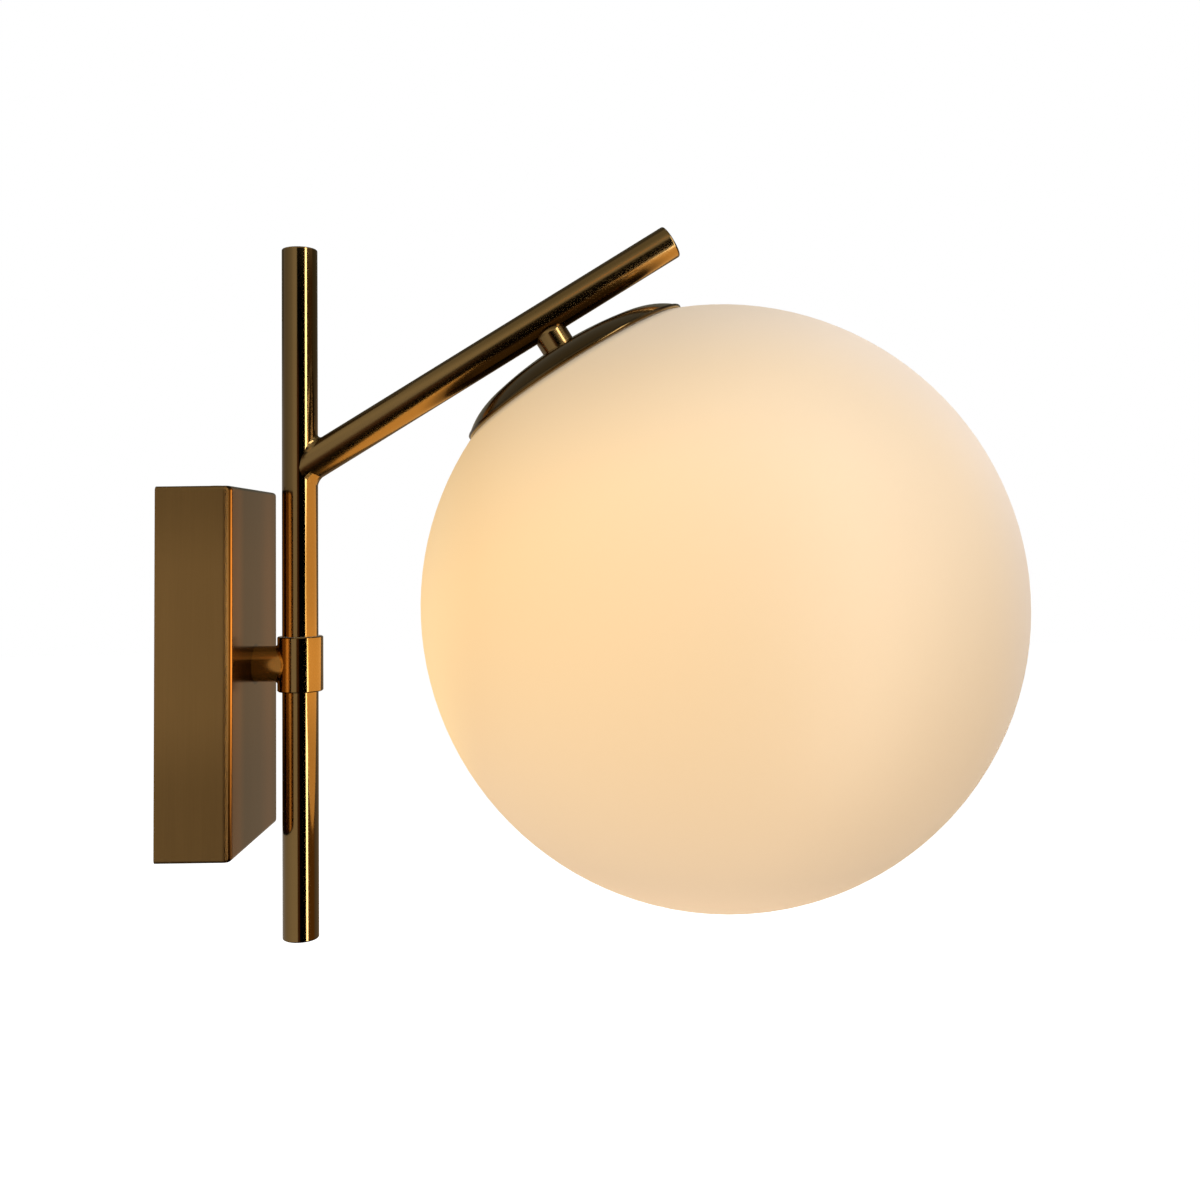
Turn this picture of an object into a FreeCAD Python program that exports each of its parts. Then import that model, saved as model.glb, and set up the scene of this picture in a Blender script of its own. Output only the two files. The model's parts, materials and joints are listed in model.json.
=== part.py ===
import FreeCAD, Part
import math
import os
import Sketcher

# Globe wall sconce, in millimetres.
# Frame: the origin is the centre of the wall bracket's back face, on the wall. +X points away
# from the wall, +Z is up and +Y is sideways. The stub that carries the lamp lies on the X axis.

V = FreeCAD.Vector
doc = FreeCAD.newDocument("globe_wall_sconce")
sheet = doc.addObject("Spreadsheet::Sheet", "Sizes")


# ---------------------------------------------------------------- sizes that know their formula

class Size:
    """A length in millimetres, or an angle in degrees, with the formula that binds it to the sheet."""

    def __init__(self, value, formula):
        self.value = float(value)
        self.formula = formula

    def __add__(self, other):
        return Size(self.value + number(other), f"({self.formula} + {text(other)})")

    def __radd__(self, other):
        return Size(number(other) + self.value, f"({text(other)} + {self.formula})")

    def __sub__(self, other):
        return Size(self.value - number(other), f"({self.formula} - {text(other)})")

    def __rsub__(self, other):
        return Size(number(other) - self.value, f"({text(other)} - {self.formula})")

    def __mul__(self, other):
        return Size(self.value * number(other), f"({self.formula} * {text(other)})")

    def __rmul__(self, other):
        return Size(number(other) * self.value, f"({text(other)} * {self.formula})")

    def __truediv__(self, other):
        return Size(self.value / number(other), f"({self.formula} / {text(other)})")

    def __neg__(self):
        return Size(-self.value, f"(0 - {self.formula})")


def number(value):
    return value.value if isinstance(value, Size) else float(value)


def text(value):
    return value.formula if isinstance(value, Size) else repr(float(value))


def root(value):
    return Size(math.sqrt(number(value)), f"sqrt({text(value)})")


def sine(angle):
    return Size(math.sin(math.radians(number(angle))), f"sin({text(angle)} * 1 deg)")


def cosine(angle):
    return Size(math.cos(math.radians(number(angle))), f"cos({text(angle)} * 1 deg)")


# ---------------------------------------------------------------- driving sizes

BOX_DEPTH = 23.9  # wall box, wall to front face
BOX_WIDTH = 60  # wall box, side to side
BOX_HEIGHT = 118  # wall box, top to bottom
BOX_SHEET = 1.0  # wall box, sheet thickness
BOX_BEND = 2.5  # wall box, outside radius of the upright bends
BOX_EDGE = 1.4  # wall box, outside radius of the top and bottom edges

STRAP_SHEET = 1.5  # wall bracket, sheet thickness
STRAP_WIDTH = 24  # wall bracket, width
STRAP_TAB = 16  # wall bracket, length of the end tabs
STRAP_GAP = 0.3  # clearance between the end tabs and the box
SLOT_SPACING = 80  # wall screw slots, centre to centre
SLOT_WIDTH = 5  # wall screw slots, width
SLOT_LENGTH = 10  # wall screw slots, end to end
ENTRY_BORE = 8  # cable entry, bore of the grommet
GROMMET_WALL = 2  # cable entry, wall of the grommet's sleeve
GROMMET_LENGTH = 4  # cable entry, length of the grommet
BOX_SCREW = 3  # box screws, thread diameter
BOX_SCREW_X = 11  # box screws, distance from the wall
BOX_SCREW_LENGTH = 6  # box screws, length under the head

STUB_DIA = 12  # stub, outside diameter
PIPE_THREAD = 10  # hollow threaded nipples, thread diameter
PIPE_BORE = 7  # hollow threaded nipples, bore
NUT_FLATS = 14  # nipple nuts, across flats
NUT_THICK = 3  # nipple nuts, thickness
WASHER_DIA = 17  # nipple washers, outside diameter
WASHER_THICK = 0.8  # nipple washers, thickness
THREAD_GAP = 0.05  # radial gap left between mating threads and press fits
HOLE_GAP = 0.2  # radial clearance of a screw or pipe in a plain hole

UPRIGHT_X = 39  # upright, distance of its axis from the wall
UPRIGHT_DIA = 12  # upright, outside diameter
UPRIGHT_TOP = 141  # upright, top above the stub's axis
UPRIGHT_BOTTOM = 91.1  # upright, bottom below the stub's axis
TUBE_WALL = 1  # wall of the upright, arm and stub tubes
TUBE_RIM = 0.5  # rounding of the tubes' rims

COLLAR_DIA = 15.2  # collar, outside diameter
COLLAR_HEIGHT = 18.4  # collar, height
COLLAR_EDGE = 0.35  # collar, chamfer of its rims
LINER_WALL = 0.4  # collar liner, wall
LINER_GAP = 0.04  # running clearance of the upright in the liner
LEAD_HOLE = 6.4  # hole and window that the leads pass through, height
SWIVEL_HALF = 45  # swivel to each side, degrees
WINDOW_SPARE = 25  # window beyond the swivel to each side, degrees
GRUB_DIA = 3  # collar grub screw, thread diameter
GRUB_TIP = 1.5  # collar grub screw, tip diameter
GRUB_HEIGHT = 6  # collar grub screw, height above the stub's axis
GROOVE_DEPTH = 0.4  # stop groove in the upright, depth
GROOVE_GAP = 0.15  # clearance of the grub screw's tip in the groove

ARM_HEIGHT = 65.1  # arm, height where its axis meets the upright's axis
ARM_RISE = 31.2  # arm, slope above level, degrees
ARM_LENGTH = 149.2  # arm, length from the upright's axis
ARM_DIA = 11.8  # arm, outside diameter
WELD_REACH = 2.2  # arm weld, reach along each tube
BRAZE_REACH = 0.7  # stub braze, reach along stub and collar
WELD_ROOT = 0.5  # arm weld and stub braze, depth of the root in the metal
WELD_HOLLOW = 0.8  # arm weld, how hollow its face is, 0 flat and 1 sharp
BRAZE_HOLLOW = 0.2  # stub braze, how hollow its face is, 0 flat and 1 sharp
BEAD_SECTIONS = 36  # arm weld and stub braze, sections round each

NECK_AT = 97  # neck, distance along the arm
NECK_DIA = 11.8  # neck ferrule, outside diameter
NECK_SHOULDER = 0.3  # neck ferrule, straight side above the arm's underside
NECK_RISE = 13.1  # neck, the arm's axis above the globe's crown
NECK_NIPPLE = 22  # neck nipple, length

GLOBE_DIA = 200  # globe, outside diameter
GLOBE_WALL = 2.2  # globe, glass thickness
MOUTH_RADIUS = 33.7  # globe neck, outside radius
MOUTH_DOWN = 4.4  # globe neck, rim below the globe's crown
SHOULDER_DOWN = 10.2  # globe, sunk shoulder below the globe's crown
SHOULDER_RADIUS = 37.4  # globe, outer radius of the sunk shoulder
SHOULDER_LIP = 1.0  # globe, bevel of the shoulder's outer edge

CAP_RISE = 1.8  # cap, top above the globe's crown
CAP_DOME = 130  # cap, radius of the dome
CAP_DOME_EDGE = 31  # cap, distance from the axis where the dome meets the shoulder
CAP_SHOULDER = 25  # cap, radius of the shoulder's arc
CAP_RADIUS = 42  # cap, radius at the rim before it is trimmed
CAP_SHEET = 0.8  # cap, sheet thickness
CAP_HEM = 0.6  # cap, radius of the rolled hem
CAP_HEM_RADIUS = 41.7  # cap, radius of the hem's centre line
CAP_GAP = 0.3  # cap rim, gap over the globe
RING_WALL = 2.7  # gallery ring, radial thickness
RING_GAP = 0.6  # gallery ring, clearance round the globe neck
RING_SEAT = 0.05  # gallery ring, joint gap under the cap
GASKET_THICK = 0.9  # globe gasket, thickness
GASKET_GAP = 0.25  # globe gasket, gap above and below
GASKET_SIDE = 0.4  # globe gasket, gap round the neck and the shoulder

HOLDER_DOWN = 8  # lamp holder, top below the globe's crown
HOLDER_BOSS = 5  # lamp holder cap, height of the threaded boss
HOLDER_BOSS_RADIUS = 7.5  # lamp holder cap, radius of the boss
HOLDER_CONE = 5  # lamp holder cap, height of the cone
HOLDER_SKIRT = 3  # lamp holder cap, height of its skirt
HOLDER_LENGTH = 40  # lamp holder, whole length
HOLDER_DIA = 28  # lamp holder, outside diameter
HOLDER_WALL = 1.5  # lamp holder, moulded wall
HOLDER_FLOOR = 3  # lamp holder body, thickness of the floor
HOLDER_SPLIT = 0.1  # lamp holder, gap between cap and body
SHELL_WALL = 0.4  # lamp holder thread shell, wall
SHELL_BORE = 14.3  # lamp holder thread shell, bore
SHELL_LENGTH = 17  # lamp holder thread shell, length
CONTACT_DIA = 6  # centre contact, diameter
CONTACT_THICK = 0.6  # centre contact, thickness
CONTACT_DROP = 2.8  # centre contact, distance below the holder's floor
CONTACT_STEM = 2.4  # centre contact, diameter of the stem

BULB_LENGTH = 78  # bulb, whole length
BULB_DIA = 45  # bulb, diameter of the diffuser
BULB_WALL = 1  # bulb, wall of the diffuser
BULB_MOUTH = 33  # bulb, diameter where diffuser meets body
BULB_THREAD = 13.8  # bulb, thread diameter
BULB_THREAD_LENGTH = 16  # bulb, length of the thread shell
BULB_TIP = 2  # bulb, height of the tip under the thread shell
BULB_TIP_DIA = 5  # bulb, diameter of the tip's contact
BULB_INSULATOR = 10  # bulb, diameter of the insulator

LEAD_DIA = 1.6  # leads, diameter over the insulation
LEAD_APART = 2  # leads, distance between the two
LEAD_BEND = 5  # leads, radius of the bends
LEAD_SPLIT = 0.3  # leads, gap between the fixed and the swivelling run
LEAD_UP = 6  # leads, height in the upright where the fixed run ends

BLOCK_WIDTH = 26  # terminal block, width
BLOCK_HEIGHT = 16  # terminal block, height
BLOCK_DEPTH = 13  # terminal block, depth
BLOCK_TOP = 14  # terminal block, top below the stub's axis
POLE_SPACING = 8  # terminal block, distance between poles
POLE_DEPTH = 6.5  # terminal block, height of the poles over the bracket
INSERT_DIA = 4.8  # terminal inserts, outside diameter
INSERT_BORE = 3  # terminal inserts, bore
INSERT_SUNK = 1  # terminal inserts, distance inside the block's ends
CLAMP_SCREW = 2.5  # terminal screws, thread diameter
CLAMP_HEAD = 3.6  # terminal screws, head diameter
CLAMP_APART = 8  # terminal screws, distance between the two on a pole
BLOCK_SCREW = 2.5  # screw that holds the terminal block, diameter

EARTH_HEIGHT = 26  # earth screw, height above the stub's axis
EARTH_SCREW = 4  # earth screw, thread diameter
EARTH_WASHER = 0.6  # earth washer, thickness
EARTH_TAG = 0.8  # earth tag, thickness
SCREW_CLEAR = 0.1  # end of a screw, clearance from the wall

# Each driving size gets a row of the sheet, under its own name in small letters, and from here
# on carries the formula that reads that row.
driving = [(name, value) for name, value in globals().items() if name.isupper() and len(name) > 1]
for row, (name, value) in enumerate(driving, start=1):
    alias = name.lower()
    sheet.set(f"A{row}", alias)
    sheet.set(f"B{row}", str(value))
    sheet.setAlias(f"B{row}", alias)
    globals()[name] = Size(value, f"Sizes.{alias}")
doc.recompute()

# ---------------------------------------------------------------- worked-out sizes

BOX_HALF_HEIGHT = BOX_HEIGHT / 2
STUB_RADIUS = STUB_DIA / 2
PIPE_RADIUS = PIPE_THREAD / 2
UPRIGHT_RADIUS = UPRIGHT_DIA / 2
UPRIGHT_INNER = UPRIGHT_RADIUS - TUBE_WALL
ARM_RADIUS = ARM_DIA / 2
COLLAR_RADIUS = COLLAR_DIA / 2
GLOBE_RADIUS = GLOBE_DIA / 2
NECK_DROP = GLOBE_RADIUS + NECK_RISE
MOUTH_TOP = GLOBE_RADIUS - MOUTH_DOWN
SHOULDER_TOP = GLOBE_RADIUS - SHOULDER_DOWN
CAP_TOP = GLOBE_RADIUS + CAP_RISE
HOLDER_TOP = GLOBE_RADIUS - HOLDER_DOWN

COS_RISE = cosine(ARM_RISE)
SIN_RISE = sine(ARM_RISE)
GLOBE_X = UPRIGHT_X + NECK_AT * COS_RISE + NECK_DROP * SIN_RISE
GLOBE_Z = ARM_HEIGHT + NECK_AT * SIN_RISE - NECK_DROP * COS_RISE

Y_AXIS = V(0, 1, 0)
UPRIGHT = FreeCAD.Placement(V(UPRIGHT_X.value, 0, 0), FreeCAD.Rotation())
OUTWARDS = FreeCAD.Placement(V(0, 0, 0), FreeCAD.Rotation(Y_AXIS, 90))
SIDEWAYS = FreeCAD.Placement(V(UPRIGHT_X.value, 0, 0), FreeCAD.Rotation(V(1, 0, 0), -90))
ARM = FreeCAD.Placement(
    V(UPRIGHT_X.value, 0, ARM_HEIGHT.value), FreeCAD.Rotation(Y_AXIS, 90 - ARM_RISE.value)
)
NECK = FreeCAD.Placement(
    V(GLOBE_X.value, 0, GLOBE_Z.value), FreeCAD.Rotation(Y_AXIS, -ARM_RISE.value)
)


def moved(placement, x=0, y=0, z=0):
    """The same frame, shifted along its own axes."""
    return placement.multiply(FreeCAD.Placement(V(number(x), number(y), number(z)), FreeCAD.Rotation()))


# ---------------------------------------------------------------- makers

subparts = []


def subpart(obj, label):
    obj.Label = label
    subparts.append(obj)
    return obj


def bind(obj, prop, size):
    if isinstance(size, Size):
        obj.setExpression(prop, size.formula)
    else:
        setattr(obj, prop, size)


def plane(body, role):
    return next(f for f in body.Origin.OriginFeatures if f.Role == role)


def new_sketch(body, name, role):
    sketch = body.newObject("Sketcher::SketchObject", name)
    sketch.AttachmentSupport = [(plane(body, role), "")]
    sketch.MapMode = "FlatFace"
    return sketch


def fix_point(sketch, geometry, end, x, y):
    """Ties one end of a line or arc, or a centre, to the sheet."""
    for kind, size, axis in (("DistanceX", x, -2), ("DistanceY", y, -1)):
        if number(size) == 0:
            sketch.addConstraint(Sketcher.Constraint("PointOnObject", geometry, end, axis))
            continue
        index = sketch.addConstraint(Sketcher.Constraint(kind, -1, 1, geometry, end, number(size)))
        if isinstance(size, Size):
            sketch.setExpression(f"Constraints[{index}]", size.formula)


def outline(body, name, role, points):
    """A closed outline. A point is (x, y), or (x, y, radius) where an arc arrives at it: a
    positive radius turns to the left, a negative one to the right."""
    sketch = new_sketch(body, name, role)
    ends = []
    for i, point in enumerate(points):
        before = points[i - 1]
        a = V(number(before[0]), number(before[1]), 0)
        b = V(number(point[0]), number(point[1]), 0)
        if len(point) == 2:
            geometry = sketch.addGeometry(Part.LineSegment(a, b), False)
            ends.append((geometry, 1, 2))
            continue
        radius = abs(number(point[2]))
        left = number(point[2]) > 0
        chord = b - a
        side = V(-chord.y, chord.x, 0).normalize() * (1 if left else -1)
        middle = (a + b) * 0.5
        centre = middle + side * math.sqrt(radius ** 2 - (chord.Length / 2) ** 2)
        first, last = (a, b) if left else (b, a)
        angles = [math.atan2(p.y - centre.y, p.x - centre.x) for p in (first, last)]
        circle = Part.Circle(centre, V(0, 0, 1), radius)
        geometry = sketch.addGeometry(Part.ArcOfCircle(circle, angles[0], angles[1]), False)
        ends.append((geometry, 1, 2) if left else (geometry, 2, 1))
        index = sketch.addConstraint(Sketcher.Constraint("Radius", geometry, radius))
        size = point[2] if left else -point[2]
        if isinstance(size, Size):
            sketch.setExpression(f"Constraints[{index}]", size.formula)
    for i, (geometry, start, end) in enumerate(ends):
        following, following_start, _ = ends[(i + 1) % len(ends)]
        joint = Sketcher.Constraint("Coincident", geometry, end, following, following_start)
        sketch.addConstraint(joint)
        fix_point(sketch, geometry, end, points[i][0], points[i][1])
    return sketch


def circles(body, name, role, places):
    """Circles, each given as (x, y, radius)."""
    sketch = new_sketch(body, name, role)
    for x, y, radius in places:
        shape = Part.Circle(V(number(x), number(y), 0), V(0, 0, 1), number(radius))
        geometry = sketch.addGeometry(shape, False)
        fix_point(sketch, geometry, 3, x, y)
        index = sketch.addConstraint(Sketcher.Constraint("Radius", geometry, number(radius)))
        if isinstance(radius, Size):
            sketch.setExpression(f"Constraints[{index}]", radius.formula)
    return sketch


def turned(name, points, placement):
    """A piece turned about the Z axis of its placement, from (radius, height) points."""
    body = doc.addObject("PartDesign::Body", name)
    profile = outline(body, name + "_profile", "XZ_Plane", points)
    feature = body.newObject("PartDesign::Revolution", name + "_turned")
    feature.Profile = profile
    feature.ReferenceAxis = (profile, ["V_Axis"])
    feature.Angle = 360
    profile.Visibility = False
    body.Placement = placement
    return body


def padded(name, role, points, length, symmetric=False):
    """A plate or bar: an outline in one of the body's planes, padded."""
    body = doc.addObject("PartDesign::Body", name)
    profile = outline(body, name + "_outline", role, points)
    feature = body.newObject("PartDesign::Pad", name + "_pad")
    feature.Profile = profile
    bind(feature, "Length", length)
    if symmetric:
        feature.SideType = "Symmetric"
    return body


def pocketed(body, sketch, length):
    """Cuts a sketch through, the same distance to both sides of its plane."""
    feature = body.newObject("PartDesign::Pocket", sketch.Name + "_pocket")
    feature.Profile = sketch
    bind(feature, "Length", length)
    feature.SideType = "Symmetric"
    return feature


def rod(name, radius, height, placement, angle=360):
    """A plain cylinder or sector along the Z axis of its placement."""
    obj = doc.addObject("Part::Cylinder", name)
    bind(obj, "Radius", radius)
    bind(obj, "Height", height)
    bind(obj, "Angle", angle)
    obj.Placement = placement
    return obj


def block(name, length, width, height, placement):
    obj = doc.addObject("Part::Box", name)
    bind(obj, "Length", length)
    bind(obj, "Width", width)
    bind(obj, "Height", height)
    obj.Placement = placement
    return obj


def cut(name, base, *tools):
    """The base without the tools."""
    tool = tools[0] if len(tools) == 1 else joined(name + "_tools", *tools)
    obj = doc.addObject("Part::Cut", name)
    obj.Base = base
    obj.Tool = tool
    return obj


def joined(name, *shapes):
    obj = doc.addObject("Part::MultiFuse", name)
    obj.Shapes = list(shapes)
    return obj


def hexagon(flats):
    """The corners of a hexagon with a flat facing +Y."""
    half = flats / 2
    corner = flats / root(3)
    return [
        (corner, 0), (corner / 2, half), (-corner / 2, half),
        (-corner, 0), (-corner / 2, -half), (corner / 2, -half),
    ]


def tube_profile(inner, outer, low, high, rim_low, rim_high):
    """A tube's section from low to high, with rounded outer rims where a radius is given."""
    points = [(inner, low)]
    if rim_low is None:
        points += [(outer, low)]
    else:
        points += [(outer - rim_low, low), (outer, low + rim_low, rim_low)]
    if rim_high is None:
        points += [(outer, high)]
    else:
        points += [(outer, high - rim_high), (outer - rim_high, high, rim_high)]
    return points + [(inner, high)]


# ---------------------------------------------------------------- wall bracket and box

def make_wall_bracket():
    """A strap on the wall with bent end tabs, two slots for wall screws and a cable hole."""
    out = BOX_HALF_HEIGHT - BOX_SHEET - STRAP_GAP
    inner = out - STRAP_SHEET
    points = [
        (0, -out), (STRAP_TAB, -out), (STRAP_TAB, -inner), (STRAP_SHEET, -inner),
        (STRAP_SHEET, inner), (STRAP_TAB, inner), (STRAP_TAB, out), (0, out),
    ]
    body = padded("wall_bracket", "XZ_Plane", points, STRAP_WIDTH, symmetric=True)
    entry = ENTRY_BORE / 2 + GROMMET_WALL
    holes = circles(body, "bracket_holes", "YZ_Plane", [
        (0, 0, entry),
        (0, EARTH_HEIGHT, EARTH_SCREW / 2 + THREAD_GAP),
        (POLE_SPACING / 2, -BLOCK_TOP - BLOCK_HEIGHT / 2, BLOCK_SCREW / 2 + THREAD_GAP),
    ])
    pocketed(body, holes, STRAP_SHEET * 4)
    for side, sign in (("upper", 1), ("lower", -1)):
        half = SLOT_WIDTH / 2
        run = (SLOT_LENGTH - SLOT_WIDTH) / 2
        middle = SLOT_SPACING / 2 * sign
        slot = outline(body, side + "_slot", "YZ_Plane", [
            (half, middle + run), (0, middle + run + half, half), (-half, middle + run, half),
            (-half, middle - run), (0, middle - run - half, half), (half, middle - run, half),
        ])
        pocketed(body, slot, STRAP_SHEET * 4)
    tabs = circles(body, "tab_holes", "XY_Plane", [(BOX_SCREW_X, 0, BOX_SCREW / 2 + THREAD_GAP)])
    pocketed(body, tabs, BOX_HEIGHT * 2)
    subpart(body, "wall_bracket")


def edges_where(feature, test):
    """Names of the feature's edges whose box passes the test."""
    return [f"Edge{i}" for i, edge in enumerate(feature.Shape.Edges, 1) if test(edge.BoundBox)]


def make_wall_box():
    """The folded sheet box over the bracket, open towards the wall."""
    half = BOX_WIDTH / 2
    high = BOX_HALF_HEIGHT
    points = [(-half, -high), (half, -high), (half, high), (-half, high)]
    body = padded("wall_box", "YZ_Plane", points, BOX_DEPTH)
    pad = body.Tip
    doc.recompute()
    front = BOX_DEPTH.value - 0.001
    upright = edges_where(pad, lambda b: b.XMin > front and b.ZLength > b.YLength)
    bends = body.newObject("PartDesign::Fillet", "box_bends")
    bends.Base = (pad, upright)
    bind(bends, "Radius", BOX_BEND)
    doc.recompute()
    speck = 0.01
    top = high.value - speck
    skin = BOX_SHEET.value
    level = edges_where(bends, lambda b: b.XMin > skin and (b.ZMin > top or b.ZMax < -top))
    level = [n for n in level if bends.Shape.getElement(n).BoundBox.YLength > speck]
    edge = body.newObject("PartDesign::Fillet", "box_edges")
    edge.Base = (bends, level)
    bind(edge, "Radius", BOX_EDGE)
    doc.recompute()
    back = [f"Face{i}" for i, f in enumerate(edge.Shape.Faces, 1) if f.BoundBox.XMax < 0.001]
    shell = body.newObject("PartDesign::Thickness", "box_shell")
    shell.Base = (edge, back)
    bind(shell, "Value", BOX_SHEET)
    shell.Reversed = True
    shell.Join = 1
    doc.recompute()
    hole = circles(body, "box_pipe_hole", "YZ_Plane", [(0, 0, PIPE_RADIUS + HOLE_GAP)])
    pocketed(body, hole, BOX_DEPTH * 4)
    screw = circles(body, "box_screw_holes", "XY_Plane", [(BOX_SCREW_X, 0, BOX_SCREW / 2 + HOLE_GAP)])
    pocketed(body, screw, BOX_HEIGHT * 2)
    subpart(body, "wall_box")


def screw_profile(thread, head, head_height, length, bevel):
    """A flat-topped screw: the head from 0 to head_height, the shank below 0."""
    return [
        (0, -length), (thread - bevel, -length), (thread, bevel - length), (thread, 0), (head, 0),
        (head, head_height - bevel), (head - bevel, head_height), (0, head_height),
    ]


def make_box_screws():
    """The two low-headed screws that hold the box on the bracket's tabs."""
    radius = BOX_SCREW / 2
    profile = screw_profile(radius, radius * 1.85, radius * 0.9, BOX_SCREW_LENGTH, radius * 0.2)
    places = []
    for name, sign in (("top", 1), ("bottom", -1)):
        turn = FreeCAD.Rotation(Y_AXIS, 0 if sign > 0 else 180)
        place = FreeCAD.Placement(V(BOX_SCREW_X.value, 0, sign * BOX_HALF_HEIGHT.value), turn)
        body = turned(name + "_box_screw", profile, place)
        width = radius * 0.45
        slot = block(
            name + "_screw_slot", radius * 4, width, radius * 0.5,
            moved(place, radius * -2, width / -2, radius * 0.5),
        )
        places.append(cut(name + "_screw_slotted", body, slot))
    group = doc.addObject("Part::Compound", "box_screws")
    group.Links = places
    subpart(group, "box_screws")


def make_grommet():
    """The rubber bush in the cable hole, with its flange inside the box."""
    bore = ENTRY_BORE / 2
    sleeve = bore + GROMMET_WALL - THREAD_GAP
    flange = sleeve + GROMMET_WALL
    points = [
        (bore, 0), (sleeve, 0), (sleeve, STRAP_SHEET), (flange, STRAP_SHEET),
        (flange, STRAP_SHEET * 1.8), (bore + GROMMET_WALL * 0.4, GROMMET_LENGTH), (bore, GROMMET_LENGTH),
    ]
    subpart(turned("cable_grommet", points, OUTWARDS), "cable_grommet")


# ---------------------------------------------------------------- terminals and earth

def pole_places():
    return [POLE_SPACING * -1, 0, POLE_SPACING]


def make_terminals():
    """A three-pole terminal block on the bracket: housing, brass inserts and clamp screws."""
    base_x = STRAP_SHEET
    low_z = -BLOCK_TOP - BLOCK_HEIGHT
    middle_z = -BLOCK_TOP - BLOCK_HEIGHT / 2
    pole_x = base_x + POLE_DEPTH
    housing = block(
        "terminal_housing", BLOCK_DEPTH, BLOCK_WIDTH, BLOCK_HEIGHT,
        FreeCAD.Placement(V(base_x.value, -BLOCK_WIDTH.value / 2, low_z.value), FreeCAD.Rotation()),
    )
    bores = []
    inserts = []
    screws = []
    head_x = base_x + BLOCK_DEPTH - CLAMP_HEAD / 2
    for i, y in enumerate(pole_places()):
        along = FreeCAD.Placement(V(pole_x.value, number(y), low_z.value), FreeCAD.Rotation())
        bores.append(rod(f"pole_bore_{i}", INSERT_DIA / 2 + THREAD_GAP, BLOCK_HEIGHT, along))
        insert = turned(f"insert_{i}", tube_profile(
            INSERT_BORE / 2, INSERT_DIA / 2, INSERT_SUNK, BLOCK_HEIGHT - INSERT_SUNK, None, None
        ), along)
        taps = []
        for j, side in enumerate((-1, 1)):
            z = middle_z + CLAMP_APART / 2 * side
            out = FreeCAD.Placement(V(pole_x.value, number(y), z.value), FreeCAD.Rotation(Y_AXIS, 90))
            bores.append(rod(f"screw_well_{i}_{j}", CLAMP_HEAD / 2 + HOLE_GAP, BLOCK_DEPTH, out))
            taps.append(rod(f"insert_tap_{i}_{j}", CLAMP_SCREW / 2 + THREAD_GAP, INSERT_DIA, out))
            reach = head_x - pole_x
            tip = LEAD_DIA / 2 + SCREW_CLEAR
            profile = screw_profile(
                CLAMP_SCREW / 2, CLAMP_HEAD / 2, CLAMP_HEAD / 2.5, reach - tip, CLAMP_SCREW / 10
            )
            screws.append(turned(f"clamp_screw_{i}_{j}", profile, moved(out, z=reach)))
        inserts.append(cut(f"insert_tapped_{i}", insert, *taps))
    between = FreeCAD.Placement(
        V(0, POLE_SPACING.value / 2, middle_z.value), FreeCAD.Rotation(Y_AXIS, 90)
    )
    bores.append(rod("fixing_hole", BLOCK_SCREW / 2 + THREAD_GAP, BLOCK_DEPTH * 2, between))
    subpart(cut("terminal_block", housing, *bores), "terminal_block")
    front = base_x + BLOCK_DEPTH
    profile = screw_profile(
        BLOCK_SCREW / 2, CLAMP_HEAD / 2, BLOCK_SCREW * 0.6, front - SCREW_CLEAR, BLOCK_SCREW / 10
    )
    subpart(turned("terminal_fixing_screw", profile, moved(between, z=front)), "terminal_fixing_screw")
    for name, pieces in (("terminal_inserts", inserts), ("terminal_screws", screws)):
        group = doc.addObject("Part::Compound", name)
        group.Links = pieces
        subpart(group, name)


def earth_grip():
    """Height of the lower end of the earth tag's barrel."""
    return EARTH_HEIGHT - EARTH_SCREW / 2 * 5.5


def make_earth():
    """The earth screw on the bracket, with its toothed washer and the lead's ring tag."""
    at = moved(OUTWARDS, x=-EARTH_HEIGHT)
    radius = EARTH_SCREW / 2
    washer_top = STRAP_SHEET + EARTH_WASHER
    tag_top = washer_top + EARTH_TAG
    seat = radius + HOLE_GAP
    subpart(turned("earth_washer", [
        (seat, STRAP_SHEET), (radius * 2, STRAP_SHEET), (radius * 2, washer_top), (seat, washer_top),
    ], at), "earth_washer")
    profile = screw_profile(radius, radius * 1.9, radius * 1.3, tag_top - SCREW_CLEAR, radius * 0.15)
    head = turned("earth_screw_blank", profile, moved(at, z=tag_top))
    slot = block(
        "earth_screw_slot", radius * 4, radius * 0.5, radius,
        moved(at, radius * -2, radius * -0.25, tag_top + radius * 0.7),
    )
    subpart(cut("earth_screw", head, slot), "earth_screw")
    ring = turned("earth_tag_ring", [
        (seat, washer_top), (radius * 2, washer_top), (radius * 2, tag_top), (seat, tag_top),
    ], at)
    # The barrel stands clear of the screw's head on a flat tongue, and grips the earth lead.
    tongue_low = EARTH_HEIGHT - radius * 4
    tongue = block("earth_tag_tongue", EARTH_TAG, radius * 1.2, radius * 2.5, FreeCAD.Placement(
        V(washer_top.value, radius.value * -0.6, tongue_low.value), FreeCAD.Rotation()
    ))
    grip = FreeCAD.Placement(V((washer_top + LEAD_DIA).value, 0, earth_grip().value), FreeCAD.Rotation())
    barrel = rod("earth_tag_barrel", LEAD_DIA, radius * 3.3, grip)
    bore = rod("earth_tag_bore", LEAD_DIA / 2 + THREAD_GAP, radius * 3.3, grip)
    subpart(cut("earth_tag", joined("earth_tag_blank", ring, tongue, barrel), bore), "earth_tag")


# ---------------------------------------------------------------- stub and collar

def make_nut(name, placement, low):
    """A hexagonal nut on a hollow nipple, from low along the placement's Z axis."""
    body = padded(name + "_blank", "XY_Plane", hexagon(NUT_FLATS), NUT_THICK)
    body.Placement = moved(placement, z=low)
    bore = rod(name + "_bore", PIPE_RADIUS, NUT_THICK, moved(placement, z=low))
    subpart(cut(name, body, bore), name)


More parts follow.
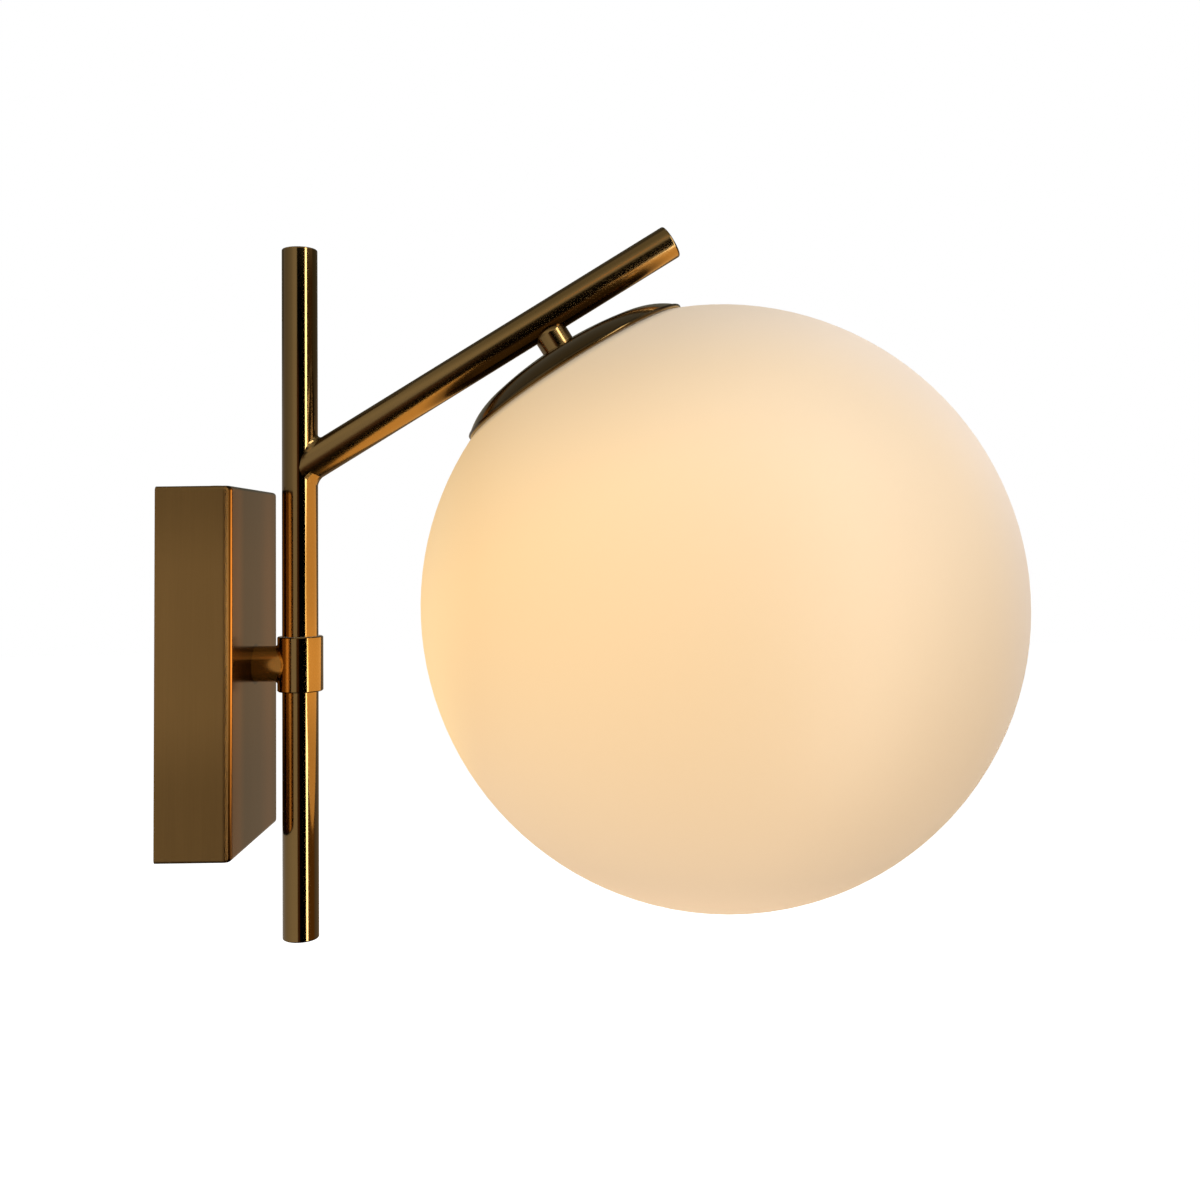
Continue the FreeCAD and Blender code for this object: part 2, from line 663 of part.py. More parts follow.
def make_washer(name, placement, low):
    inner = PIPE_RADIUS + HOLE_GAP
    outer = WASHER_DIA / 2
    high = low + WASHER_THICK
    subpart(turned(name, [(inner, low), (outer, low), (outer, high), (inner, high)], placement), name)


def make_nipple(name, placement, low, length):
    inner = PIPE_BORE / 2
    outer = PIPE_RADIUS - THREAD_GAP
    bevel = THREAD_GAP * 8
    high = low + length
    subpart(turned(name, [
        (inner, low), (outer - bevel, low), (outer, low + bevel), (outer, high - bevel),
        (outer - bevel, high), (inner, high),
    ], placement), name)


def make_stub():
    """The stub tube on the box's front, and the hollow nipple and nut that pull it tight."""
    inside = BOX_DEPTH - BOX_SHEET
    make_washer("stub_washer", OUTWARDS, inside - WASHER_THICK)
    make_nut("stub_nut", OUTWARDS, inside - WASHER_THICK - NUT_THICK)
    start = inside - WASHER_THICK - NUT_THICK * 2
    stop = UPRIGHT_X - COLLAR_RADIUS - TUBE_WALL
    make_nipple("stub_nipple", OUTWARDS, start, stop - start)
    blank = turned("stub_blank", tube_profile(
        PIPE_RADIUS, STUB_RADIUS, BOX_DEPTH, UPRIGHT_X, None, None
    ), OUTWARDS)
    saddle = rod("stub_saddle", COLLAR_RADIUS, STUB_DIA * 2, moved(UPRIGHT, z=-STUB_DIA))
    subpart(cut("stub_tube", blank, saddle), "stub_tube")


def make_collar():
    """The sleeve round the upright, its thin liner and the grub screw that guides the swivel."""
    half = COLLAR_HEIGHT / 2
    liner_in = UPRIGHT_RADIUS + LINER_GAP
    liner_out = liner_in + LINER_WALL
    bore = liner_out + THREAD_GAP
    blank = turned("collar_blank", [
        (bore, -half), (COLLAR_RADIUS - COLLAR_EDGE, -half), (COLLAR_RADIUS, COLLAR_EDGE - half),
        (COLLAR_RADIUS, half - COLLAR_EDGE), (COLLAR_RADIUS - COLLAR_EDGE, half), (bore, half),
    ], UPRIGHT)
    side = moved(SIDEWAYS, y=-GRUB_HEIGHT)
    back = moved(OUTWARDS, z=UPRIGHT_X - COLLAR_DIA)
    lead_hole = rod("collar_lead_hole", LEAD_HOLE / 2, COLLAR_DIA, back)
    tapping = rod("collar_tapping", GRUB_DIA / 2, COLLAR_DIA, side)
    subpart(cut("collar", blank, lead_hole, tapping), "collar")
    lining = turned("liner_blank", tube_profile(liner_in, liner_out, -half, half, None, None), UPRIGHT)
    lead_way = rod("liner_lead_hole", LEAD_HOLE / 2, COLLAR_DIA, back)
    tip_way = rod("liner_tip_hole", GRUB_TIP / 2 + GROOVE_GAP, COLLAR_DIA, side)
    subpart(cut("collar_liner", lining, lead_way, tip_way), "collar_liner")
    tip = UPRIGHT_RADIUS - GROOVE_DEPTH + GROOVE_GAP
    thread = GRUB_DIA / 2 - THREAD_GAP
    screw = turned("grub_blank", [
        (0, tip), (GRUB_TIP / 2, tip), (GRUB_TIP / 2, bore), (thread, bore),
        (thread, COLLAR_RADIUS - SCREW_CLEAR), (0, COLLAR_RADIUS - SCREW_CLEAR),
    ], side)
    socket = padded("grub_socket", "XY_Plane", hexagon(GRUB_TIP * 0.9), LINER_WALL * 2)
    socket.Placement = moved(side, z=COLLAR_RADIUS - LINER_WALL * 2)
    subpart(cut("collar_grub_screw", screw, socket), "collar_grub_screw")


# ---------------------------------------------------------------- saddle welds

def saddle_weld(name, main_radius, branch_radius, tilt, reach, hollow, placement):
    """The hollow-faced bead where a branch tube leaves a main tube. The main tube stands on the
    placement's Z axis and the branch leaves it at +X, tilt degrees above level. Each section is
    a three-sided wedge: its root lies in the metal and its face runs from tube to tube."""
    slope = math.radians(number(tilt))
    along = V(math.cos(slope), 0, math.sin(slope))
    across = V(-math.sin(slope), 0, math.cos(slope))
    main, branch = number(main_radius), number(branch_radius)
    span, depth, sag = number(reach), number(WELD_ROOT), number(hollow)

    def meeting(turn):
        x = math.sqrt(main ** 2 - (branch * math.sin(turn)) ** 2)
        run = (x + branch * math.cos(turn) * math.sin(slope)) / math.cos(slope)
        return along * run + (across * math.cos(turn) + V(0, 1, 0) * math.sin(turn)) * branch

    def unrolled(point):
        return V(main * math.atan2(point.y, point.x), point.z, 0)

    def on_main(flat, radius):
        angle = flat.x / main
        return V(radius * math.cos(angle), radius * math.sin(angle), flat.y)

    rings = []
    sections = int(BEAD_SECTIONS.value)
    step = 2 * math.pi / sections
    for i in range(sections):
        turn = i * step
        seam = meeting(turn)
        outward = (across * math.cos(turn) + V(0, 1, 0) * math.sin(turn))
        ahead = unrolled(meeting(turn + step / 8)) - unrolled(meeting(turn - step / 8))
        away = V(ahead.y, -ahead.x, 0).normalize()
        if away.dot(unrolled(seam) - unrolled(along * (main / math.cos(slope)))) < 0:
            away = away * -1
        sunk = depth / 10
        on_branch = seam + along * span - outward * sunk
        on_upright = on_main(unrolled(seam) + away * span, main - sunk)
        radial = V(seam.x, seam.y, 0).normalize()
        root_point = seam - (outward + radial).normalize() * depth
        chord = (on_branch + on_upright) * 0.5
        crown = chord + (seam - chord) * sag
        face = Part.BezierCurve()
        face.setPoles([on_branch, crown, on_upright])
        rings.append(Part.Wire([
            face.toShape(),
            Part.makeLine(on_upright, root_point),
            Part.makeLine(root_point, on_branch),
        ]))
    shell = Part.makeLoft(rings, True, True, True)
    feature = doc.addObject("Part::Feature", name + "_bead")
    feature.Shape = shell
    feature.Placement = placement
    return feature


# ---------------------------------------------------------------- upright and arm

def make_upright():
    """The swivelling upright: a tube with a window for the leads and a stop groove."""
    half = COLLAR_HEIGHT / 2
    blank = turned("upright_blank", tube_profile(
        UPRIGHT_INNER, UPRIGHT_RADIUS, -UPRIGHT_BOTTOM, UPRIGHT_TOP, TUBE_RIM, TUBE_RIM
    ), UPRIGHT)
    window_half = SWIVEL_HALF + WINDOW_SPARE
    turn = FreeCAD.Rotation(V(0, 0, 1), 180 - window_half.value)
    window = rod("lead_window", COLLAR_RADIUS, LEAD_HOLE, FreeCAD.Placement(
        V(UPRIGHT_X.value, 0, -LEAD_HOLE.value / 2), turn
    ), window_half * 2)
    tip_half = math.degrees(math.asin((GRUB_TIP / 2 + GROOVE_GAP).value / UPRIGHT_RADIUS.value))
    groove_half = SWIVEL_HALF.value + tip_half
    groove_height = GRUB_TIP + GROOVE_GAP * 2
    start = FreeCAD.Placement(
        V(UPRIGHT_X.value, 0, (GRUB_HEIGHT - groove_height / 2).value),
        FreeCAD.Rotation(V(0, 0, 1), 90 - groove_half),
    )
    sector = rod("groove_sector", COLLAR_RADIUS, groove_height, start, groove_half * 2)
    core = rod("groove_core", UPRIGHT_RADIUS - GROOVE_DEPTH, groove_height * 2,
               moved(UPRIGHT, z=GRUB_HEIGHT - groove_height))
    groove = cut("stop_groove", sector, core)
    port = rod("arm_lead_port", LEAD_HOLE / 2, half + UPRIGHT_RADIUS, ARM)
    subpart(cut("upright_tube", blank, window, groove, port), "upright_tube")


def make_plug(name, placement, inner):
    """A pressed end plug, its outer face at the placement's origin and its body below it."""
    radius = inner - THREAD_GAP
    depth = inner
    bevel = TUBE_RIM
    subpart(turned(name, [
        (0, -depth), (radius - bevel, -depth), (radius, bevel - depth),
        (radius, -bevel), (radius - bevel, 0, bevel), (0, 0),
    ], placement), name)


def make_arm():
    """The branch tube, mitred onto the upright and welded all round."""
    inner = ARM_RADIUS - TUBE_WALL
    blank = turned("arm_blank", tube_profile(
        inner, ARM_RADIUS, 0, ARM_LENGTH, None, TUBE_RIM * 1.6
    ), ARM)
    mitre = rod("arm_mitre", UPRIGHT_RADIUS, ARM_DIA * 6, moved(UPRIGHT, z=ARM_HEIGHT - ARM_DIA * 3))
    down = NECK.multiply(FreeCAD.Placement(V(0, 0, (NECK_DROP - ARM_DIA).value), FreeCAD.Rotation()))
    port = rod("neck_lead_port", PIPE_BORE / 2 + HOLE_GAP, ARM_DIA, down)
    subpart(cut("arm_tube", blank, mitre, port), "arm_tube")
    bead = saddle_weld("arm_weld", UPRIGHT_RADIUS, ARM_RADIUS, ARM_RISE, WELD_REACH, WELD_HOLLOW,
                       moved(UPRIGHT, z=ARM_HEIGHT))
    main = rod("arm_weld_main", UPRIGHT_RADIUS, ARM_DIA * 6, moved(UPRIGHT, z=ARM_HEIGHT - ARM_DIA * 3))
    branch = rod("arm_weld_branch", ARM_RADIUS, ARM_DIA * 3, ARM)
    subpart(cut("arm_weld", bead, main, branch), "arm_weld")
    make_plug("upright_top_plug", moved(UPRIGHT, z=UPRIGHT_TOP), UPRIGHT_INNER)
    flipped = FreeCAD.Placement(
        V(UPRIGHT_X.value, 0, -UPRIGHT_BOTTOM.value), FreeCAD.Rotation(Y_AXIS, 180)
    )
    make_plug("upright_bottom_plug", flipped, UPRIGHT_INNER)
    make_plug("arm_end_plug", moved(ARM, z=ARM_LENGTH), inner)


def make_stub_braze():
    """The small braze ring between stub and collar."""
    facing_wall = UPRIGHT.multiply(FreeCAD.Placement(V(0, 0, 0), FreeCAD.Rotation(V(0, 0, 1), 180)))
    bead = saddle_weld("stub_braze", COLLAR_RADIUS, STUB_RADIUS, 0, BRAZE_REACH, BRAZE_HOLLOW,
                       facing_wall)
    main = rod("stub_braze_main", COLLAR_RADIUS, STUB_DIA * 2, moved(UPRIGHT, z=-STUB_DIA))
    branch = rod("stub_braze_branch", STUB_RADIUS, UPRIGHT_X - BOX_DEPTH, moved(OUTWARDS, z=BOX_DEPTH))
    subpart(cut("stub_braze", bead, main, branch), "stub_braze")


# ---------------------------------------------------------------- neck, cap and gallery

def shoulder_centre():
    """Radius and height of the centre of the cap's shoulder arc, tangent to its dome."""
    dome_z = CAP_TOP - CAP_DOME
    height = root(CAP_DOME * CAP_DOME - CAP_DOME_EDGE * CAP_DOME_EDGE)
    share = CAP_SHOULDER / CAP_DOME
    return CAP_DOME_EDGE - CAP_DOME_EDGE * share, dome_z + height - height * share


def cap_under(radius):
    """Height of the cap's inner face at a radius on its shoulder."""
    centre_r, centre_z = shoulder_centre()
    inner = CAP_SHOULDER - CAP_SHEET
    return centre_z + root(inner * inner - (radius - centre_r) * (radius - centre_r))


def make_cap():
    """The shallow spun cap on the globe: a dome that turns into a rounder shoulder."""
    dome_z = CAP_TOP - CAP_DOME
    centre_r, centre_z = shoulder_centre()
    inner_dome = CAP_DOME - CAP_SHEET
    inner_shoulder = CAP_SHOULDER - CAP_SHEET
    share = inner_dome / CAP_DOME
    bore = PIPE_RADIUS + HOLE_GAP
    meet_r = CAP_DOME_EDGE
    meet_z = dome_z + root(CAP_DOME * CAP_DOME - meet_r * meet_r)
    in_r = meet_r * share
    in_z = dome_z + (meet_z - dome_z) * share
    rim_z = centre_z + root(CAP_SHOULDER * CAP_SHOULDER - (CAP_RADIUS - centre_r) * (CAP_RADIUS - centre_r))
    rim_in = CAP_RADIUS - CAP_SHEET
    under_z = cap_under(rim_in)
    top_z = dome_z + root(CAP_DOME * CAP_DOME - bore * bore)
    below_z = dome_z + root(inner_dome * inner_dome - bore * bore)
    blank = turned("cap_blank", [
        (bore, top_z), (meet_r, meet_z, -CAP_DOME), (CAP_RADIUS, rim_z, -CAP_SHOULDER),
        (rim_in, under_z), (in_r, in_z, inner_shoulder), (bore, below_z, inner_dome),
    ], NECK)
    over_globe = GLOBE_RADIUS + CAP_GAP
    hem_reach = over_globe + CAP_HEM
    hem = doc.addObject("Part::Torus", "cap_hem")
    bind(hem, "Radius1", CAP_HEM_RADIUS)
    bind(hem, "Radius2", CAP_HEM)
    hem.Placement = moved(NECK, z=root(hem_reach * hem_reach - CAP_HEM_RADIUS * CAP_HEM_RADIUS))
    trim = doc.addObject("Part::Sphere", "cap_trim")
    bind(trim, "Radius", over_globe)
    trim.Placement = NECK
    subpart(joined("globe_cap", cut("cap_shell", blank, trim), hem), "globe_cap")


def make_gallery_ring():
    """The threaded ring spun into the cap, which the globe's neck screws into."""
    inner = MOUTH_RADIUS + RING_GAP
    outer = inner + RING_WALL
    low = SHOULDER_TOP + GASKET_THICK + GASKET_GAP * 2
    subpart(turned("gallery_ring", [
        (inner, low), (outer, low), (outer, cap_under(outer) - RING_SEAT),
        (inner, cap_under(inner) - RING_SEAT * 2),
    ], NECK), "gallery_ring")


def make_neck():
    """The ferrule between arm and cap, and the nipple, washer and nut that clamp the cap."""
    inner_dome = CAP_DOME - CAP_SHEET
    seat_r = NECK_DIA / 2
    seat_z = CAP_TOP - CAP_DOME + root(CAP_DOME * CAP_DOME - PIPE_RADIUS * PIPE_RADIUS)
    bore = PIPE_BORE / 2 + HOLE_GAP
    underside = NECK_DROP - ARM_RADIUS
    top = underside - TUBE_WALL
    shoulder = underside + NECK_SHOULDER
    blank = turned("ferrule_blank", [
        (PIPE_RADIUS, seat_z), (seat_r, seat_z), (seat_r, shoulder),
        (bore, shoulder + seat_r - bore, seat_r - bore), (bore, top + THREAD_GAP),
        (PIPE_RADIUS, top + THREAD_GAP),
    ], NECK)
    saddle = rod("ferrule_saddle", ARM_RADIUS, NECK_AT, moved(ARM, z=NECK_AT / 2))
    subpart(cut("neck_ferrule", blank, saddle), "neck_ferrule")
    washer_r = WASHER_DIA / 2
    under = CAP_TOP - CAP_DOME + root(inner_dome * inner_dome - washer_r * washer_r)
    washer_low = under - WASHER_THICK - THREAD_GAP
    make_washer("neck_washer", NECK, washer_low)
    make_nut("neck_nut", NECK, washer_low - NUT_THICK)
    make_nipple("neck_nipple", NECK, top - NECK_NIPPLE, NECK_NIPPLE)


# ---------------------------------------------------------------- lamp holder and bulb

def make_holder():
    """The lamp holder on the nipple: cap, body, thread shell and sprung centre contact."""
    top = HOLDER_TOP
    boss_low = top - HOLDER_BOSS
    cone_low = boss_low - HOLDER_CONE
    split = cone_low - HOLDER_SKIRT
    outer = HOLDER_DIA / 2
    inside = outer - HOLDER_WALL
    floor_top = split - HOLDER_SPLIT
    floor_low = floor_top - HOLDER_FLOOR
    mouth = top - HOLDER_LENGTH
    subpart(turned("holder_cap", [
        (PIPE_RADIUS, top), (PIPE_RADIUS, boss_low), (inside, cone_low), (inside, split),
        (outer, split), (outer, cone_low), (HOLDER_BOSS_RADIUS + HOLDER_WALL, boss_low),
        (HOLDER_BOSS_RADIUS, top),
    ], NECK), "holder_cap")
    shell_in = SHELL_BORE / 2
    shell_out = shell_in + SHELL_WALL
    sleeve_in = shell_out + THREAD_GAP
    sleeve_out = sleeve_in + HOLDER_WALL
    shell_low = floor_low - SHELL_LENGTH
    stem = CONTACT_STEM / 2
    subpart(turned("holder_body", [
        (stem + GROOVE_GAP, floor_top), (outer, floor_top), (outer, mouth), (inside, mouth),
        (inside, floor_low), (sleeve_out, floor_low), (sleeve_out, shell_low),
        (sleeve_in, shell_low), (sleeve_in, floor_low), (stem + GROOVE_GAP, floor_low),
    ], NECK), "holder_body")
    subpart(turned("holder_thread_shell", [
        (shell_in, shell_low), (shell_out, shell_low), (shell_out, floor_low - THREAD_GAP),
        (shell_in, floor_low - THREAD_GAP),
    ], NECK), "holder_thread_shell")
    face = floor_low - CONTACT_DROP
    back = face + CONTACT_THICK
    subpart(turned("holder_contact", [
        (0, face), (CONTACT_DIA / 2, face), (CONTACT_DIA / 2, back), (stem, back),
        (stem, floor_top - SCREW_CLEAR), (0, floor_top - SCREW_CLEAR),
    ], NECK), "holder_contact")
    return face


def make_bulb(contact_face):
    """A round lamp with a small screw base: diffuser, body, thread shell and tip."""
    tip_top = contact_face - SCREW_CLEAR / 2
    shell_top = tip_top - BULB_TIP
    shell_low = shell_top - BULB_THREAD_LENGTH
    bottom = tip_top - BULB_LENGTH
    radius = BULB_DIA / 2
    centre = bottom + radius
    mouth_r = BULB_MOUTH / 2
    mouth_z = centre + root(radius * radius - mouth_r * mouth_r)
    inner = radius - BULB_WALL
    mouth_in = mouth_r - BULB_WALL
    thread = BULB_THREAD / 2
    wall = SHELL_WALL
    insulator = BULB_INSULATOR / 2
    tip_r = BULB_TIP_DIA / 2
    subpart(turned("bulb_tip", [
        (0, shell_top + BULB_TIP / 2), (tip_r, shell_top + BULB_TIP / 2),
        (tip_r, tip_top - BULB_TIP / 4), (tip_r / 2, tip_top), (0, tip_top),
    ], NECK), "bulb_tip")
    subpart(turned("bulb_insulator", [
        (0, shell_top), (insulator, shell_top), (tip_r, shell_top + BULB_TIP / 2),
        (0, shell_top + BULB_TIP / 2),
    ], NECK), "bulb_insulator")
    subpart(turned("bulb_shell", [
        (thread - wall, shell_low), (thread, shell_low), (thread, shell_top - wall * 2),
        (insulator, shell_top), (insulator - wall, shell_top - wall), (thread - wall, shell_top - wall * 3),
    ], NECK), "bulb_shell")
    collar = thread + wall
    subpart(turned("bulb_body", [
        (0, mouth_z - BULB_WALL), (mouth_in - THREAD_GAP, mouth_z - BULB_WALL),
        (mouth_in - THREAD_GAP, mouth_z), (mouth_r, mouth_z),
        (mouth_r - wall, mouth_z + BULB_WALL * 3), (collar, shell_low - BULB_WALL), (collar, shell_low),
        (thread - wall - THREAD_GAP, shell_low), (thread - wall - THREAD_GAP, shell_top - wall * 3),
        (0, shell_top - wall * 3),
    ], NECK), "bulb_body")
    in_z = centre + root(inner * inner - mouth_in * mouth_in)
    subpart(turned("bulb_diffuser", [
        (0, bottom), (mouth_r, mouth_z - SCREW_CLEAR / 2, radius), (mouth_in, mouth_z - SCREW_CLEAR / 2),
        (mouth_in, in_z), (0, bottom + BULB_WALL, -inner),
    ], NECK), "bulb_diffuser")


# ---------------------------------------------------------------- globe

def make_globe():
    """The opal glass globe: a blown shell with a sunk shoulder and a short neck at its top."""
    inner = GLOBE_RADIUS - GLOBE_WALL
    mouth_in = MOUTH_RADIUS - GLOBE_WALL
    under = SHOULDER_TOP - GLOBE_WALL
    lip_r = SHOULDER_RADIUS + SHOULDER_LIP
    lip_z = root(GLOBE_RADIUS * GLOBE_RADIUS - lip_r * lip_r)
    in_r = root(inner * inner - under * under)
    subpart(turned("globe_glass", [
        (0, -GLOBE_RADIUS), (lip_r, lip_z, GLOBE_RADIUS), (SHOULDER_RADIUS, lip_z - SHOULDER_LIP),
        (SHOULDER_RADIUS, SHOULDER_TOP), (MOUTH_RADIUS, SHOULDER_TOP), (MOUTH_RADIUS, MOUTH_TOP),
        (mouth_in, MOUTH_TOP), (mouth_in, under), (in_r, under), (0, -inner, -inner),
    ], NECK), "globe_glass")
    low = SHOULDER_TOP + GASKET_GAP
    high = low + GASKET_THICK
    ring_in = MOUTH_RADIUS + GASKET_SIDE
    ring_out = SHOULDER_RADIUS - GASKET_SIDE
    subpart(turned("globe_gasket", [
        (ring_in, low), (ring_out, low), (ring_out, high), (ring_in, high),
    ], NECK), "globe_gasket")


# ---------------------------------------------------------------- leads

def lead_path(points, bend):
    """Straight runs joined by arcs that touch both."""
    edges = []
    start = points[0]
    for i in range(1, len(points) - 1):
        before, corner, after = points[i - 1], points[i], points[i + 1]
        back = (before - corner).normalize()
        on = (after - corner).normalize()
        angle = back.getAngle(on)
        reach = bend / math.tan(angle / 2)
        first = corner + back * reach
        last = corner + on * reach
        inward = (back + on).normalize()
        middle = corner + inward * (bend / math.sin(angle / 2) - bend)
        edges.append(Part.LineSegment(start, first).toShape())
        edges.append(Part.Arc(first, middle, last).toShape())
        start = last
    edges.append(Part.LineSegment(start, points[-1]).toShape())
    return Part.Wire(edges)


def make_lead(name, points, bend=None):
    """An insulated lead along its route; its volume is compared with section times length."""
    radius = (LEAD_DIA / 2).value
    path = lead_path(points, number(bend or LEAD_BEND))
    heading = points[1] - points[0]
    section = Part.Wire([Part.makeCircle(radius, points[0], heading)])
    solid = path.makePipeShell([section], True, False)
    expected = math.pi * radius ** 2 * path.Length
    if abs(solid.Volume - expected) > expected * 0.01:
        raise ValueError(f"{name}: swept volume {solid.Volume:.1f}, expected {expected:.1f}")
    feature = doc.addObject("Part::Feature", name)
    feature.Shape = solid
    subpart(feature, name)


def in_arm_plane(x, z, y):
    return V(number(x), number(y), number(z))


def neck_point(height, side, along=0):
    """A point near the neck's axis: height from the globe's centre, along the arm's direction."""
    x = GLOBE_X - SIN_RISE * height + COS_RISE * along
    z = GLOBE_Z + COS_RISE * height + SIN_RISE * along
    return in_arm_plane(x, z, side)


def make_leads():
    """The earth lead, and the live and neutral leads from terminal to lamp holder."""
    pole_x = STRAP_SHEET + POLE_DEPTH
    clamp_z = -BLOCK_TOP - BLOCK_HEIGHT / 2
    floor = HOLDER_TOP - HOLDER_BOSS - HOLDER_CONE - HOLDER_SKIRT
    for name, sign in (("live", -1), ("neutral", 1)):
        side = LEAD_APART / 2 * sign
        pole = POLE_SPACING * sign
        make_lead("box_lead_" + name, [
            in_arm_plane(pole_x, clamp_z, pole),
            in_arm_plane(pole_x, -BLOCK_TOP + LEAD_DIA * 2, pole),
            in_arm_plane(pole_x + LEAD_DIA, 0, side),
            in_arm_plane(UPRIGHT_X, 0, side),
            in_arm_plane(UPRIGHT_X, LEAD_UP, side),
        ], LEAD_BEND * 0.7)
        make_lead("arm_lead_" + name, [
            in_arm_plane(UPRIGHT_X, LEAD_UP + LEAD_SPLIT, side),
            in_arm_plane(UPRIGHT_X, ARM_HEIGHT, side),
            neck_point(NECK_DROP, side),
            neck_point(floor + LEAD_DIA / 2, side),
        ])
    tag_x = STRAP_SHEET + EARTH_WASHER + LEAD_DIA
    past_x = GROMMET_LENGTH + LEAD_DIA * 1.4
    past_y = ENTRY_BORE / 2 + LEAD_DIA
    make_lead("earth_lead", [
        in_arm_plane(pole_x, clamp_z, 0),
        in_arm_plane(pole_x, -BLOCK_TOP + LEAD_DIA * 2, 0),
        in_arm_plane(past_x, LEAD_DIA * -3, past_y),
        in_arm_plane(past_x, LEAD_DIA * 3, past_y),
        in_arm_plane(tag_x, earth_grip() - LEAD_DIA * 3, 0),
        in_arm_plane(tag_x, earth_grip() + LEAD_DIA * 2, 0),
    ], LEAD_BEND * 0.7)


# ---------------------------------------------------------------- build, check and write

make_wall_bracket()
make_wall_box()
make_box_screws()
make_grommet()
make_terminals()
make_earth()
make_stub()
make_collar()
make_stub_braze()
make_upright()
make_arm()
make_neck()
make_cap()
make_gallery_ring()
make_bulb(make_holder())
make_globe()
make_leads()
doc.recompute()

for obj in doc.Objects:
    if "Invalid" in obj.State or "Error" in obj.State:
        raise RuntimeError(f"{obj.Label} did not build: {obj.State}")
for obj in subparts:
    if obj.Shape.isNull() or not obj.Shape.isValid() or obj.Shape.Volume <= 0:
        raise RuntimeError(f"{obj.Label} is not a valid solid")

os.makedirs("parts", exist_ok=True)
for obj in subparts:
    obj.Shape.exportStep(f"parts/{obj.Label}.step")
    print(f"{obj.Label}: {len(obj.Shape.Solids)} solid(s), {obj.Shape.Volume:.1f} mm3")
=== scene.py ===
# %% [markdown]
# # Globe wall sconce
# This lesson dresses a finished construction: a wall lamp of bronzed brass tube that carries an
# opal glass globe. The pieces come from the frame at their real size, so nothing here is moved or
# scaled. What is left is the picture: a camera, a studio, and a finish for every surface.

# %% Load the frame
import json
import math

import bmesh
import bpy
from mathutils import Matrix, Vector


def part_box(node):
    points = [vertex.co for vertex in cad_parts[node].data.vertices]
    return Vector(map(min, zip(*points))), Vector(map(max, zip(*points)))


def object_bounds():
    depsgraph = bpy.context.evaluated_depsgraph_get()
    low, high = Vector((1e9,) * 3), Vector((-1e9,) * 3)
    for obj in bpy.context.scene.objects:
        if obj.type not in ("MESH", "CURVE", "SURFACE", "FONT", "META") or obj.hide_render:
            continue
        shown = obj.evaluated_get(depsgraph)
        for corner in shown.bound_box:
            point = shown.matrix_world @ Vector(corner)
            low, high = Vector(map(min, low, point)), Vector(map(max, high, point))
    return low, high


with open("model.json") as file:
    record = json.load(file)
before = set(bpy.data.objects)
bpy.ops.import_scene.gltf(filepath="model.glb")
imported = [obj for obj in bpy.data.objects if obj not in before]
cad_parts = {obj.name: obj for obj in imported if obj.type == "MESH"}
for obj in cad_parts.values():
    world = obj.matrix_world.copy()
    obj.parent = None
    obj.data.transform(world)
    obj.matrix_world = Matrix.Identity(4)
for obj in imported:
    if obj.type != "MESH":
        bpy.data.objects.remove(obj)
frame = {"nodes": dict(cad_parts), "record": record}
nodes = frame["nodes"]
cad_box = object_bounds()

# %% [markdown]
# ## Named places
# Blender works in metres. The few places that a finish or a light needs are written once here, in
# millimetres as a drawing would give them, or are read from the frame. A place that is read keeps
# up with the construction when somebody changes a size there.

# %% Places on the object
MM = 0.001
ARM_RISE = math.radians(31.2)
NECK_UP = Vector((-math.sin(ARM_RISE), 0, math.cos(ARM_RISE)))
low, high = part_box("globe_glass")
GLOBE_RADIUS = (high.y - low.y) / 2
GLOBE_CENTRE = Vector((high.x - GLOBE_RADIUS, 0, low.z + GLOBE_RADIUS))
BOX_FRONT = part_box("wall_box")[1].x
OBJECT_CENTRE = (cad_box[0] + cad_box[1]) / 2
print("globe centre", [round(c / MM, 2) for c in GLOBE_CENTRE], "radius", round(GLOBE_RADIUS / MM, 2))

# %% [markdown]
# ## The camera
# The camera stands where the photographer's stood: less than half a metre off, a little above the
# middle of the lamp and slightly tipped. A short distance is what shows the box's front face. The
# lens is given by its focal length in pixels, and the shift by the point that the lens looks at.

# %% Camera
PHOTO_SIDE = 1200
FOCAL_PIXELS = 1256.9
LENS_POINT = (593.3, 481.2)
SENSOR = 36.0
CAMERA_PLACE = (0.13714, -0.42706, 0.03909)
YAW, PITCH, ROLL = (math.radians(angle) for angle in (-0.207, 2.836, 0.775))
LOOK_AHEAD = Matrix.Rotation(math.pi / 2, 4, "X")  # a new camera looks straight down

camera_data = bpy.data.cameras.new("camera")
camera_data.sensor_width = SENSOR
camera_data.lens = FOCAL_PIXELS / PHOTO_SIDE * SENSOR
camera_data.shift_x = (PHOTO_SIDE / 2 - LENS_POINT[0]) / PHOTO_SIDE
camera_data.shift_y = (LENS_POINT[1] - PHOTO_SIDE / 2) / PHOTO_SIDE
camera_data.clip_start = 10 * MM
camera = bpy.data.objects.new("camera", camera_data)
bpy.context.scene.collection.objects.link(camera)
turn = Matrix.Rotation(YAW, 4, "Z") @ Matrix.Rotation(PITCH, 4, "X") @ Matrix.Rotation(ROLL, 4, "Y")
camera.matrix_world = Matrix.Translation(CAMERA_PLACE) @ turn @ LOOK_AHEAD
bpy.context.scene.camera = camera
print("lens", round(camera_data.lens, 2), "mm")

# %% [markdown]
# ## Writing shaders as sums
# A node tree for a formula is long to write by hand. One small class wraps a socket, so that `+`,
# `-`, `*` and `/` add the Math nodes, and one method adds every other kind of node. The rest of the
# lesson then reads like the formulas that it draws.

